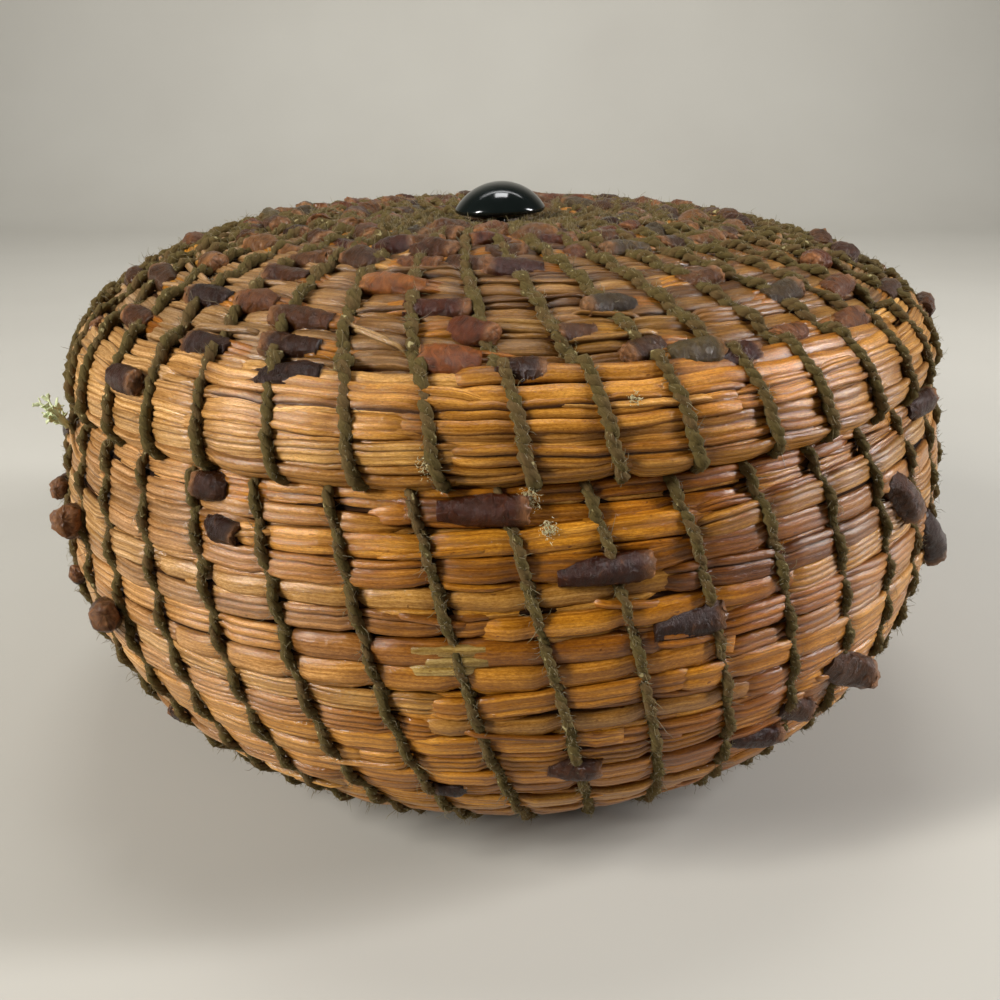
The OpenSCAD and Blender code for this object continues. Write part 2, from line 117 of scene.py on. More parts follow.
def blend(tree, share, first, second):
    first, second = (rgba(c) if isinstance(c, str) else c for c in (first, second))
    return add_node(tree, "ShaderNodeMix", {0: share, 6: first, 7: second}, data_type="RGBA").outputs[2]

def math_node(tree, operation, first, second):
    return add_node(tree, "ShaderNodeMath", {0: first, 1: second}, operation=operation).outputs[0]

def bump(tree, height, strength, metres, **more):
    return add_node(tree, "ShaderNodeBump", {"Height": height, "Strength": strength,
                    "Distance": metres, **more}).outputs["Normal"]

def make_material(name, surface):
    """surface adds nodes to an empty tree and returns the settings of its shader."""
    material = bpy.data.materials.new(name)
    material.use_nodes = True
    tree = material.node_tree
    tree.nodes.clear()
    shader = add_node(tree, "ShaderNodeBsdfPrincipled", surface(tree))
    add_node(tree, "ShaderNodeOutputMaterial", {"Surface": shader.outputs[0]})
    print("made", name, "with", len(tree.nodes), "nodes")
    return material

print("mid grey in linear light", round(linear("#808080")[0], 3))

# %% [markdown]
# ## Varnished pine needle
# A dried pine needle is a long straw-coloured to red-brown leaf with fine grooves along
# it. The maker varnished the basket, so the needles have a clear gloss coat over a satin
# surface. Each needle here carries its own colour, with painted shade and painted sheen
# added, and its own length and round-the-needle coordinates as attributes of the mesh,
# and the material reads them. That keeps the streaks running along every needle, which no
# texture laid over the whole basket could do. Streaks are about 0.3 mm wide and pores
# 0.15 mm, a little coarser than in life. The palest streaks are painted highlights.

# %% Material: varnished pine needle
def needle_surface(tree):
    lie = mesh_lie(tree)
    streaks = noise_along(tree, lie, (0.09, 3.2, 9.0), Detail=5.0, Roughness=0.66)
    patches = noise_along(tree, lie, (0.16, 0.5, 5.0), Detail=3.0)
    specks = noise_along(tree, lie, (1.1, 1.9, 3.0), Detail=2.0)
    pores = noise_along(tree, lie, (2.4, 7.0, 5.0), Detail=3.0, Roughness=0.7)
    shade = math_node(tree, "MULTIPLY", between(tree, streaks, 0.36, 0.62, 0.56, 1.16),
                      between(tree, patches, 0.3, 0.7, 0.74, 1.16))
    shade = math_node(tree, "MULTIPLY", shade, between(tree, specks, 0.7, 0.76, 1.0, 0.42))
    shade = math_node(tree, "MULTIPLY", shade, between(tree, pores, 0.36, 0.62, 0.7, 1.14))
    # Dark streaks are not grey but deep red-brown, so green and blue fall faster than red.
    warm = [math_node(tree, "POWER", shade, power) for power in (1.0, 1.25, 1.9)]
    warm = add_node(tree, "ShaderNodeCombineXYZ", dict(zip("XYZ", warm))).outputs[0]
    colour = add_node(tree, "ShaderNodeVectorMath", {0: mesh_tint(tree), 1: warm},
                      operation="MULTIPLY").outputs[0]
    # The palest streaks are blended toward pale tan: painted highlights of the varnish.
    colour = blend(tree, between(tree, streaks, 0.55, 0.72, 0.0, 0.25), colour, "#b98d62")
    grooves = noise_along(tree, lie, (0.1, 6.5, 9.0), Detail=2.0)
    varnish = noise_along(tree, lie, (1.6, 2.8, 7.0), Detail=4.0, Roughness=0.6)
    grain = bump(tree, grooves, 0.4, 0.00012)
    return {"Base Color": colour, "Roughness": between(tree, patches, 0.3, 0.7, 0.3, 0.55),
            "Normal": grain, "Specular IOR Level": 0.2, "Specular Tint": rgba("#e8c393"),
            "Coat Weight": 0.5, "Coat IOR": 1.6,
            "Coat Roughness": between(tree, varnish, 0.35, 0.65, 0.03, 0.14),
            "Coat Normal": bump(tree, varnish, 0.7, 0.0002, Normal=grain)}

pine_needle = make_material("varnished_pine_needle", needle_surface)

# %% [markdown]
# ## Bundle heart
# Between the needles one sees only deep brown shadow. A tube of dark, rough material runs
# inside each bundle for the needles further in, so that no light comes through the wall.
# Its near-black browns are painted shade. Its streaks are 0.6 mm wide, about as wide as
# single needles.

# %% Material: shaded needles in the heart of a bundle
def heart_surface(tree):
    needles = noise_along(tree, mesh_lie(tree), (0.12, 1.6, 3.0), Detail=4.0)
    # The near-black browns stand for the shade between needles: painted shade.
    return {"Base Color": blend(tree, between(tree, needles, 0.4, 0.65), "#150a04", "#4a2c12"),
            "Roughness": 0.8, "Normal": bump(tree, needles, 1.0, 0.001), "Specular IOR Level": 0.08}

bundle_heart = make_material("shaded_needles", heart_surface)

# %% [markdown]
# ## Spun thread
# The thread is two-ply, dull olive, and fuzzy with loose fibres: spun, dyed in uneven
# lots, and faded. Fibres scatter light in all directions, so it is rough with a little
# sheen. Fine streaks in each ply stand for its fibres, drawn about 0.2 mm apart, coarser
# than life. Patches turn browner, and pale flecks are bits of varnish and dry fibre.

# %% Material: two-ply olive thread
def thread_surface(tree):
    lie = mesh_lie(tree)
    fibres = noise_along(tree, lie, (2.2, 5.0, 7.0), Detail=4.0, Roughness=0.7)
    patches = noise_along(tree, lie, (0.22, 0.2, 11.0), Detail=2.0)
    flecks = noise_along(tree, lie, (1.5, 1.3, 3.0), Detail=2.0)
    colour = blend(tree, between(tree, patches, 0.45, 0.62), blend(tree, fibres, "#261f0d", "#705f35"),
                   blend(tree, fibres, "#30220f", "#775f3b"))
    colour = blend(tree, between(tree, flecks, 0.68, 0.74, 0.0, 0.75), colour, "#b5a878")
    return {"Base Color": colour, "Roughness": 0.85, "Normal": bump(tree, fibres, 0.8, 0.0002),
            "IOR": 1.2, "Sheen Weight": 0.1, "Sheen Roughness": 0.5, "Sheen Tint": rgba("#b5ab78")}

olive_thread = make_material("two_ply_olive_thread", thread_surface)

# %% [markdown]
# ## Needle sheath
# Long pine needles grow in clusters, and a scaly brown sleeve holds each cluster at its
# foot. Left on, the sheaths stud the basket. They are papery scales under varnish: dark,
# red-brown or coppery, wrinkled across, with pale edges where a scale has flaked. Scales
# are drawn about 0.8 mm wide, as large as real ones, and break up into finer wrinkles.

# %% Material: varnished needle sheath
def sheath_surface(tree):
    scales = noise_along(tree, mesh_lie(tree), (1.25, 0.95, 6.0), Detail=7.0, Roughness=0.68,
                         Distortion=0.9)
    dark = between(tree, scales, 0.32, 0.66, 0.3, 1.3)
    colour = add_node(tree, "ShaderNodeVectorMath", {0: mesh_tint(tree), "Scale": dark},
                      operation="SCALE").outputs[0]
    colour = blend(tree, between(tree, scales, 0.62, 0.75, 0.0, 0.4), colour, "#9a6a42")
    wrinkles = bump(tree, scales, 0.8, 0.0005)
    return {"Base Color": colour, "Roughness": between(tree, scales, 0.3, 0.7, 0.25, 0.5),
            "Normal": wrinkles, "Specular IOR Level": 0.12, "Specular Tint": rgba("#cf8558"),
            "Coat Weight": 0.42, "Coat Roughness": 0.05, "Coat Normal": wrinkles}

needle_sheath = make_material("varnished_needle_sheath", sheath_surface)

# %% [markdown]
# ## The outline, as the measured model has it
# The model winds its coils along two outlines: a flat floor, a round knuckle and a wall
# for the base, and a dimple, a flat top, a round shoulder and a short skirt for the lid.
# They are built here again from the same sizes, in millimetres, so that every needle lies
# where its coil is.

# %% Outlines of the base and the lid
BELLY_R, BELLY_H, FLOOR_R, MOUTH_R, MOUTH_H, FLOOR_CUT = 62.0, 31.5, 28.5, 58.8, 50.6, 0.5
LID_R, LID_H, LID_TOP_R, DIMPLE, RIM_H, RIM_T = 58.6, 18.8, 22.5, 1.2, 8.0, 6.0
RING_T, RING_DROP, SEAT_GAP, RING_GAP = 4.2, 3.4, 0.3, 0.9
# From coil to coil, the free gap between coils, and the turns left out in the centre.
BASE_STEP, LID_STEP, COIL_GAP, START = 5.3, 4.6, 0.55, 0.6
# The turn where the wall begins, and the one where the lid's slope does.
WALL_TURN, SLOPE_TURN = 9, 5
# Slanting lines of stitches round the basket, and degrees that they turn from coil to coil.
LINES, SLANT = 44, 1.4
LINE_ANGLE = 360 / LINES

def half_width(step):
    return (step - COIL_GAP) / 2

base_corner = half_width(BASE_STEP) / math.cos(math.radians(30))
lid_corner = half_width(LID_STEP) / math.cos(math.radians(30))
floor_z = half_width(BASE_STEP) * math.cos(math.radians(30)) - FLOOR_CUT
lid_edge_h = MOUTH_H + SEAT_GAP
lid_top_z = lid_edge_h + LID_H - lid_corner

def outline(points, facing):
    points = np.array(points)
    lengths = np.r_[0, np.cumsum(np.hypot(*np.diff(points, axis=0).T))]
    return {"s": lengths, "r": points[:, 0], "z": points[:, 1], "whole": lengths[-1],
            "facing": facing}

bend = np.radians(np.linspace(0, 90, 25))
rise = np.linspace(0, 1, 13)[1:]
belly_cr, mouth_cr, lid_cr = BELLY_R - base_corner, MOUTH_R - base_corner, LID_R - RIM_T / 2
base_line = outline(
    [(0, floor_z)]
    + [(FLOOR_R + (belly_cr - FLOOR_R) * math.sin(a), BELLY_H - (BELLY_H - floor_z) * math.cos(a))
       for a in bend]
    + [(belly_cr - (belly_cr - mouth_cr) * v * v, BELLY_H + (MOUTH_H - BELLY_H) * v) for v in rise],
    facing=1)
skirt_h = RIM_H / 4
lid_line = outline(
    [(0, lid_top_z - DIMPLE), (2 * LID_STEP, lid_top_z)]
    + [(LID_TOP_R + (lid_cr - LID_TOP_R) * math.sin(a),
        lid_edge_h + skirt_h + (lid_top_z - lid_edge_h - skirt_h) * math.cos(a)) for a in bend]
    + [(lid_cr, lid_edge_h)],
    facing=-1)
print("length of the base outline", round(base_line["whole"], 1), "mm, of the lid",
      round(lid_line["whole"], 1), "mm")

# %% [markdown]
# The real basket isn't quite true: the seam between base and lid climbs by some
# millimetres from left to right, while the floor and the top are level. One smooth lean
# of every point does that. It is the same for base and lid, so the two still meet.

# %% Places on an outline, and the lean of the real basket
SEAM_LEAN = 2.2

def lean(points):
    z = points[..., 2]
    below = np.clip(z / lid_edge_h, 0, 1) ** 1.5
    above = 1 - np.clip((z - lid_edge_h) / (LID_H + 1), 0, 1) ** 1.3
    leaned = points.copy()
    leaned[..., 2] += SEAM_LEAN * points[..., 0] / BELLY_R * np.where(z < lid_edge_h, below, above)
    return leaned

def radius_at(line, s):
    return np.interp(s, line["s"], line["r"])

def height_at(line, s):
    return np.interp(s, line["s"], line["z"])

def around(r, angle, z):
    """Points at radius r and height z, at an angle in radians round the axis."""
    return np.stack(np.broadcast_arrays(r * np.cos(angle), r * np.sin(angle), z), -1)

def on_outline(line, s, angle, out):
    """Points and outward directions at lengths s, angles in degrees, and heights out."""
    s, angle, out = np.broadcast_arrays(*(np.asarray(v, float) for v in (s, angle, out)))
    inner = np.clip(s, 0.5, line["whole"] - 0.5)
    dr = radius_at(line, inner + 0.4) - radius_at(line, inner - 0.4)
    dz = height_at(line, inner + 0.4) - height_at(line, inner - 0.4)
    size = np.hypot(dr, dz)
    nr, nz = line["facing"] * dz / size, -line["facing"] * dr / size
    angle = np.radians(angle)
    points = around(radius_at(line, s) + out * nr, angle, height_at(line, s) + out * nz)
    return points, around(nr, angle, nz)

print("belly of the base at", on_outline(base_line, 60, 0, base_corner)[0].round(1))

# %% [markdown]
# ## The spiral
# Each coil is described by its turn t, counted from the centre. Its middle lies a step
# further along the outline with each turn, and over the last turn the bundle thins out,
# so that the free edge of the base, or of the lid, is level. These are the same formulas
# as in the measured model.

# %% The two spirals
def make_spiral(line, length, step, end_angle, slant):
    turns = round(length / step - 0.5 - START) + 1
    share = length / (turns - 0.5 + START)
    tip = math.floor((turns - (COIL_GAP + 0.6) / share) * 24) / 24
    spiral = {"line": line, "turns": turns, "p": share, "tip": tip, "end": end_angle,
              "slant": slant}
    spiral["t"] = np.arange(0, tip, 1 / 240)
    mid, _ = on_outline(line, middle(spiral, spiral["t"]), 360 * spiral["t"] + end_angle, 0)
    spiral["run"] = np.r_[0, np.cumsum(np.linalg.norm(np.diff(mid, axis=0), axis=1))]
    return spiral

def thinning(spiral, t):
    return np.clip(t - (spiral["turns"] - 1), 0, 1)

def middle(spiral, t):
    n, p = spiral["turns"], spiral["p"]
    return np.where(t <= n - 1, p * (t + START), p * (n - 0.5 + START) - p / 2 * (1 - thinning(spiral, t)))

def bundle_size(spiral, t):
    """The bundle starts thin in the centre, and a quarter of it is left at its free end."""
    return np.minimum(1, 0.62 + 0.76 * t) * (1 - 0.72 * thinning(spiral, t))

base_spiral = make_spiral(base_line, base_line["whole"], BASE_STEP, 165, -SLANT)
lid_length = lid_line["whole"] - RIM_H - COIL_GAP / 2
lid_spiral = make_spiral(lid_line, lid_length, LID_STEP, 195, SLANT)
print("turns", base_spiral["turns"], lid_spiral["turns"], "metres of coil",
      (base_spiral["run"][-1] / 1000).round(2), (lid_spiral["run"][-1] / 1000).round(2))

# %% [markdown]
# The lines of stitches slant by 1.4 degrees from coil to coil. A stitch phase counts the
# stitches along the coil: it is a whole number exactly where a stitch crosses. Needles
# are squeezed there and swell between two stitches, so they ask for it too.

# %% Places of the stitches along a spiral
def phase(spiral, t):
    coils_in = spiral["turns"] - 0.5 - t
    return (360 * t + spiral["end"] + spiral["slant"] * coils_in) / LINE_ANGLE

def stitch_turn(spiral, number):
    n, slant = spiral["turns"] - 0.5, spiral["slant"]
    return (number * LINE_ANGLE - spiral["end"] - slant * n) / (360 - slant)

def swell(stitches, radius, reach=1.1):
    """0 at a whole number of stitches, and 1 from about 2 mm away from it."""
    f = stitches % 1
    away = np.minimum(f, 1 - f) * math.radians(LINE_ANGLE) * radius
    return 1 - np.exp(-(away / reach) ** 2)

check = stitch_turn(base_spiral, 500)
print("phase at stitch 500:", round(float(phase(base_spiral, check)), 6))

# %% [markdown]
# ## Sweeping sections along paths
# Needles, plies and sheaths are all a section swept along a path. One function does it
# for a whole path at once with arrays, which is far quicker than Blender's own curve
# tools for thousands of needles, and it writes the attributes that the materials read.

# %% The sweep, and turning gathered sweeps into a piece
WHITE = (1, 1, 1)
TABLE_GAP = 0.02

def gather():
    return {"points": [], "quads": [], "tris": [], "tint": [], "lie": [], "count": 0}

def unit(v):
    return v / np.maximum(np.linalg.norm(v, axis=-1, keepdims=True), 1e-9)

def run_along(path):
    return np.r_[0, np.cumsum(np.linalg.norm(np.diff(path, axis=0), axis=1))]

def sweep(into, path, up, section, tint=WHITE, wide=1.0, high=1.0, key=0.0, begin=0.0, rough=0.0):
    """section is a ring of (across, up) values in mm; wide and high scale it along the path."""
    n, m = len(path), len(section)
    ahead = unit(np.gradient(path, axis=0))
    across = unit(np.cross(ahead, up))
    lift = np.cross(across, ahead)
    wide, high = np.broadcast_to(wide, n), np.broadcast_to(high, n)
    rings = (path[:, None] + across[:, None] * (section[None, :, 0] * wide[:, None])[..., None]
             + lift[:, None] * (section[None, :, 1] * high[:, None])[..., None])
    if rough:
        rings = path[:, None] + (rings - path[:, None]) * rng.normal(1, rough, (n, m, 1))
    close_rings(into, rings, path, tint, key, begin)

def close_rings(into, rings, path, tint, key, begin):
    """Joins rings of points to a closed tube; key is the number of its own that lie holds."""
    n, m = rings.shape[:2]
    first = into["count"]
    index = first + np.arange(n * m).reshape(n, m)
    after = np.roll(index, -1, axis=1)
    into["quads"].append(np.stack([index[:-1], index[1:], after[1:], after[:-1]], -1).reshape(-1, 4))
    ends = first + n * m
    into["tris"].append(np.stack([np.full(m, ends), index[0], after[0]], -1))
    into["tris"].append(np.stack([np.full(m, ends + 1), after[-1], index[-1]], -1))
    into["points"] += [rings.reshape(-1, 3), path[:1], path[-1:]]
    run = begin + run_along(path)
    girth = np.linalg.norm(np.roll(rings, -1, axis=1) - rings, axis=-1).sum(1).mean()
    lie = np.stack([np.repeat(run, m), np.tile(np.arange(m) / m * girth, n), np.full(n * m, key)], -1)
    into["lie"] += [lie, [[run[0], 0, key]], [[run[-1], 0, key]]]
    tint = np.asarray(tint, float)
    tint = np.broadcast_to(tint[:, None] if tint.ndim == 2 else tint, (n, m, 3))
    into["tint"] += [tint.reshape(-1, 3), tint[:1].mean(1), tint[-1:].mean(1)]
    into["count"] = ends + 2

def ring_section(width, height, sides):
    a = np.linspace(0, 2 * math.pi, sides, endpoint=False)
    return np.stack([width / 2 * np.cos(a), height / 2 * np.sin(a)], -1)

def joined(parts):
    return np.concatenate([np.asarray(part, float).reshape(-1, 3) for part in parts])

def attach(mesh, name, kind, field, values):
    mesh.attributes.new(name, kind, "POINT").data.foreach_set(field, values.astype(np.float32).ravel())

def link(name, data):
    made = bpy.data.objects.new(name, data)
    bpy.context.scene.collection.objects.link(made)
    return made

def make_piece(into, name, body, material, replaces=(), leaned=True):
    """One mesh of all that was gathered; it rides on a body and takes the place of CAD nodes."""
    points = joined(into["points"])
    if leaned:
        points = lean(points)
    points[:, 2] = np.maximum(points[:, 2], TABLE_GAP)
    quads, tris = np.concatenate(into["quads"]), np.concatenate(into["tris"])
    mesh = bpy.data.meshes.new(name)
    mesh.vertices.add(len(points))
    mesh.vertices.foreach_set("co", (points * MM).astype(np.float32).ravel())
    corners = np.concatenate([quads.ravel(), tris.ravel()]).astype(np.int32)
    sizes = np.r_[np.full(len(quads), 4), np.full(len(tris), 3)]
    mesh.loops.add(len(corners))
    mesh.loops.foreach_set("vertex_index", corners)
    mesh.polygons.add(len(sizes))
    mesh.polygons.foreach_set("loop_start", np.r_[0, np.cumsum(sizes)[:-1]].astype(np.int32))
    mesh.update(calc_edges=True)
    mesh.polygons.foreach_set("use_smooth", np.ones(len(sizes), bool))
    attach(mesh, "tint", "FLOAT_COLOR", "color", np.c_[joined(into["tint"]), np.ones(len(points))])
    attach(mesh, "lie", "FLOAT_VECTOR", "vector", joined(into["lie"]))
    mesh.materials.append(material)
    piece = link(name, mesh)
    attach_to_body(piece, body)
    if replaces:
        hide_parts(*replaces)
    print(name, "faces", len(quads) * 2 + len(tris))

print("a ply has", len(ring_section(2, 2, 7)), "sides")

# %% [markdown]
# ## Laying the needles
# Each turn of coil shows two rows of needle clusters on its outer face. A cluster is one
# to four needles that lie side by side as one flat strap, 2 to 7 cm long, each needle in
# its own tone. Where a strap ends it thins out and dives under the next, or shows a cut
# end. Straps are squeezed under each stitch and swell between stitches, which gives the
# pillowed look of the wall. Thin single needles fill some of the cracks between them.

# %% One row of needles
SEED = 20
rng = np.random.default_rng(SEED)

def wander(x, period):
    """A smooth random wave of x, between -1 and 1."""
    a = rng.uniform(0, 2 * math.pi, 3)
    return (np.sin(2 * math.pi * x / period + a[0]) + 0.6 * np.sin(2 * math.pi * x / (0.41 * period) + a[1])
            + 0.35 * np.sin(2 * math.pi * x / (0.17 * period) + a[2])) / 1.95

def smooth(x):
    x = np.clip(x, 0, 1)
    return x * x * (3 - 2 * x)

STRAW = ["#bc7b1b", "#ad6d11", "#c68624", "#a36410", "#bd7d21", "#b67616", "#ae6e17",
         "#c98d30", "#ba7a19", "#a66714", "#985d10", "#b37621", "#ba853a", "#8c530f"]
GOLD = ["#cc923e", "#bf8534", "#d69e4a", "#b57c2d", "#ce9645", "#c78b39", "#d9a357",
        "#c0873b"]
PALE = ["#865e2c", "#7a5323", "#8e6633", "#754f1f", "#8a612e", "#815a25", "#936c37",
        "#7e5627", "#6c481d", "#855e2e", "#855f31", "#63411a"]
# Pale tan for both flanks: partly paler needles, partly painted sheen of the window light.
FLANK_SHEEN_TAN = linear("#c4a27a")

def cluster_section(width, height, needles):
    """A strap of needles side by side: its corners, and how light each corner is. Each needle has a random
    tone of its own; the grooves and the underside carry painted shade.
    """
    edges = np.linspace(1, -1, needles + 1)
    edges[1:-1] += rng.uniform(-0.3, 0.3, needles - 1) / needles
    grooves = 0.05 + 0.6 * rng.uniform(0, 1, needles + 1) ** 1.4
    corners, light = [], []
    for k in range(needles):
        tone = rng.uniform(0.84, 1.14)
        for part, groove in ((0.0, grooves[k]), (0.14, 0.03), (0.5, -0.06), (0.86, 0.03)):
            x = edges[k] + (edges[k + 1] - edges[k]) * part
            corners.append((x * width / 2, height / 2 * (1 - 0.22 * x ** 4) * (1 - groove)))
            # Painted shade: a corner is darker the deeper its groove.
            light.append(tone * (1 - 1.3 * groove))
    # The underside corners are darker: painted shade.
    corners += [(-width / 2, 0.1 * height), (-0.36 * width, -0.42 * height),
                (0.36 * width, -0.42 * height)]
    return np.array(corners), np.array(light + [0.5, 0.45, 0.45])

def flank_sheen_and_front_shade(tint, points):
    """Partly the needles' own colour, partly painted light: both flanks are painted paler tan, as the sheen
    of the window light, and right of the front the colour is painted deeper, as shade.
    """
    x = points[:, :1]
    share = 0.5 * smooth(-x / 45) + 0.3 * smooth((x - 28) / 30)
    deep = np.exp(-((x - 28) / 14) ** 2)
    return (tint * (1 - share) + FLANK_SHEEN_TAN * share) * (1 - deep * (0.08, 0.2, 0.45))

# Straps overlap by so many mm at each end, and taper over so many.
OVERLAP, TAPER = 4.5, 6
# Width and thickness of a strap, and of the thin needles in the cracks.
WALL_STRAP, WALL_THIN = (2.75, 1.5), (0.95, 0.9)
LID_STRAP, LID_THIN = (2.5, 1.45), (0.8, 0.9)
# The faces of a bundle, towards the outside and towards the inside of the basket.
OUTER, INNER = 1, -1

def lay_row(into, place, begin, end, width, height, needles=(1, 2, 2, 3), spacing=1.25,
            lengths=(16, 64), cut=0.05, drift=1.7, tones=STRAW, share=1.0):
    """place(u, sideways, raised) gives points, up directions, swell and size at run u."""
    run = begin - rng.uniform(0, lengths[1])
    while run < end:
        length = rng.uniform(*lengths)
        a, b = max(begin, run - OVERLAP), min(end, run + length + OVERLAP)
        run += length
        if b - a < 4 or rng.random() > share:
            continue
        u = np.linspace(a, b, max(6, int((b - a) / spacing) + 1))
        taper = smooth(np.minimum(u - a, b - u) / TAPER)
        if rng.random() < cut:
            taper = smooth((u - a) / TAPER)
        part = (u - a) / (b - a) - 0.5
        sideways = rng.uniform(-0.15, 0.15) + drift * rng.uniform(-1, 1) * part + 0.24 * wander(u, 31)
        raised = 0.14 * wander(u, 23) + rng.uniform(-0.3, 0.18) - (1 - taper)
        points, up, swollen, size = place(u, sideways, raised)
        # The flanks show one needle more to a strap than the front.
        count = rng.choice(needles) + int(abs(points[:, 0].mean() - 4) > 25)
        section, light = cluster_section(width * rng.uniform(0.84, 1.12),
                                         height * rng.uniform(0.9, 1.1), count)
        tint = linear(rng.choice(tones)) * rng.uniform(0.8, 1.12)
        # Painted shade: straps darken next to each stitch, where the thread shades them and some varnish
        # has pooled, and where they thin out under the next strap; the darks turn warmer.
        shade = (0.5 + 0.5 * swollen) * (0.7 + 0.3 * taper) * (1 + 0.08 * wander(u, 13))
        tone = (shade[:, None] * light)[..., None] ** (1, 1.2, 1.5)
        sweep(into, points, up, section, flank_sheen_and_front_shade(tint, points)[:, None] * tone,
              wide=size * (0.92 + 0.08 * swollen) * (0.2 + 0.8 * taper),
              high=size * (0.94 + 0.06 * swollen) * (0.35 + 0.65 * taper),
              key=rng.uniform(0, 50), begin=u[0])

print("tones: straw", len(STRAW), "gold", len(GOLD), "pale", len(PALE))

# %% Rows along a spiral
def spiral_row(spiral, across, height, face, squeeze=0.42):
    """A row beside the middle of the bundle, on its OUTER or INNER face."""
    line = spiral["line"]

    def place(u, sideways, raised):
        t = np.interp(u, spiral["run"], spiral["t"])
        mid = middle(spiral, t)
        swollen = swell(phase(spiral, t), np.maximum(radius_at(line, mid), 6))
        size = bundle_size(spiral, t)
        s = mid + (across * (0.9 + 0.1 * swollen) + sideways) * size
        out = height(mid) * size - squeeze * (1 - swollen) + raised
        points, normal = on_outline(line, s, 360 * t + spiral["end"], face * out)
        return points, face * normal, swollen, np.maximum(size, 0.5)
    return place

def room_below(mid, gap):
    """How far out from the outline of the base the table is, less a gap."""
    _, normal = on_outline(base_line, mid, 0, 0)
    return (height_at(base_line, mid) - gap) / np.maximum(-normal[..., 2], 0.02)

def base_outer_height(mid):
    """Rows on the outer face, pressed flat where the floor coils lie on the table."""
    return np.minimum(1.9, room_below(mid, 0.25) - 0.72)

def off_floor(mid):
    return smooth((mid - FLOOR_R) / 10)

def base_inner_height(mid):
    return 1.3 + 0.6 * off_floor(mid)

def run_at(spiral, turn):
    return float(np.interp(turn, spiral["t"], spiral["run"]))

print("run of the base coil at turn 9:", round(run_at(base_spiral, 9)), "mm")

# %% [markdown]
# ## The base
# The wall shows nine coils and the floor the other nine. The rows are kept in pieces of
# less than 200,000 faces: three for the wall, one for the floor, one for the inside and
# one for the top of the mouth. A dark tube runs in the heart of the bundle.

# %% Heart of the base coil
def heart(into, spiral, size, flat=False):
    u = np.arange(0, spiral["run"][-1], 3.0)
    t = np.interp(u, spiral["run"], spiral["t"])
    mid = middle(spiral, t)
    scale = bundle_size(spiral, t)
    pressed = (1 - off_floor(mid)) * 0.35 if flat else 0 * mid
    points, normal = on_outline(spiral["line"], mid, 360 * t + spiral["end"], -pressed)
    sweep(into, points, normal, ring_section(size * 1.16, size, 8), wide=scale,
          high=scale * (1 - pressed))

piece = gather()
heart(piece, base_spiral, 4.1, flat=True)
make_piece(piece, "base_bundle_heart", "base", bundle_heart, ["base_coil"])

# %% Needles of the wall, the floor and the inside
def lay_spiral(into, spiral, first, last, rows, height, face, width, thick, **more):
    begin, end = run_at(spiral, first), run_at(spiral, last)
    for across, lower in rows:
        row = spiral_row(spiral, across, lambda mid, lower=lower: height(mid) - lower, face)
        lay_row(into, row, begin, end, width, thick, **more)

def bundle_rows(spiral, strap_lower, edge_lower, crack_lower):
    """Rows of straps, and of thin needles in the cracks: mm beside the middle, mm lower."""
    q = spiral["p"] / 4
    straps = [(-q, strap_lower), (q, strap_lower)]
    return straps, [(-2 * q, edge_lower), (0, crack_lower), (2 * q, edge_lower)]

two_rows, cracks = bundle_rows(base_spiral, 0.1, 0.25, 0.2)
thin = {"needles": (1,), "lengths": (9, 42), "share": 0.6, "drift": 1.5}
for name, first, last in (("wall_needles_low", WALL_TURN, 12), ("wall_needles_middle", 12, 15),
                          ("wall_needles_high", 15, base_spiral["tip"])):
    piece = gather()
    lay_spiral(piece, base_spiral, first, last, two_rows, base_outer_height, OUTER, *WALL_STRAP)
    lay_spiral(piece, base_spiral, first, last, cracks, base_outer_height, OUTER, *WALL_THIN,
               **thin)
    make_piece(piece, name, "base", pine_needle)
piece = gather()
lay_spiral(piece, base_spiral, 0, WALL_TURN, two_rows, base_outer_height, OUTER, 2.75, 1.2,
           spacing=1.8)
make_piece(piece, "floor_needles", "base", pine_needle)
piece = gather()
lay_spiral(piece, base_spiral, 0, base_spiral["tip"], two_rows, base_inner_height, INNER, 2.75, 1.3,
           needles=(1, 2, 2), spacing=1.9)
make_piece(piece, "inside_needles", "base", pine_needle)

# %% Needles on the top of the mouth
piece = gather()
tip = base_spiral["tip"]
for out in (-1.25, 0, 1.25):
    edge = spiral_row(base_spiral, base_spiral["p"] * 0.36, lambda mid, out=out: out + 0 * mid,
                      OUTER, squeeze=0)
    lay_row(piece, edge, run_at(base_spiral, tip - 1.1), run_at(base_spiral, tip), 1.8, 1.5,
            needles=(1, 2))
make_piece(piece, "mouth_needles", "base", pine_needle)

# %% [markdown]
# ## The lid
# The lid is wound from finer bundles, 4.6 mm apart, with rounder coils and deeper
# valleys. Its lower edge is one fat coil of fine needles, and inside that a ring of
# needles reaches down into the mouth and keeps the lid in place.

# %% Needles of the lid
def lid_height(mid):
    return 1.6 + 0 * mid

piece = gather()
heart(piece, lid_spiral, 3.4)
make_piece(piece, "lid_bundle_heart", "lid", bundle_heart, ["lid_coil"])
two_rows, cracks = bundle_rows(lid_spiral, 0.3, 0.7, 0.1)
for name, first, last in (("lid_slope_needles", SLOPE_TURN, lid_spiral["tip"]),
                          ("lid_top_needles", 0, SLOPE_TURN)):
    piece = gather()
    lay_spiral(piece, lid_spiral, first, last, two_rows, lid_height, OUTER, *LID_STRAP, tones=PALE)
    lay_spiral(piece, lid_spiral, first, last, cracks, lid_height, OUTER, *LID_THIN, tones=PALE,
               **thin)
    make_piece(piece, name, "lid", pine_needle)
piece = gather()
lay_spiral(piece, lid_spiral, 0, lid_spiral["tip"], two_rows, lid_height, INNER, 2.5, 1.3,
           needles=(1, 2, 2), spacing=1.9)
make_piece(piece, "lid_inside_needles", "lid", pine_needle)

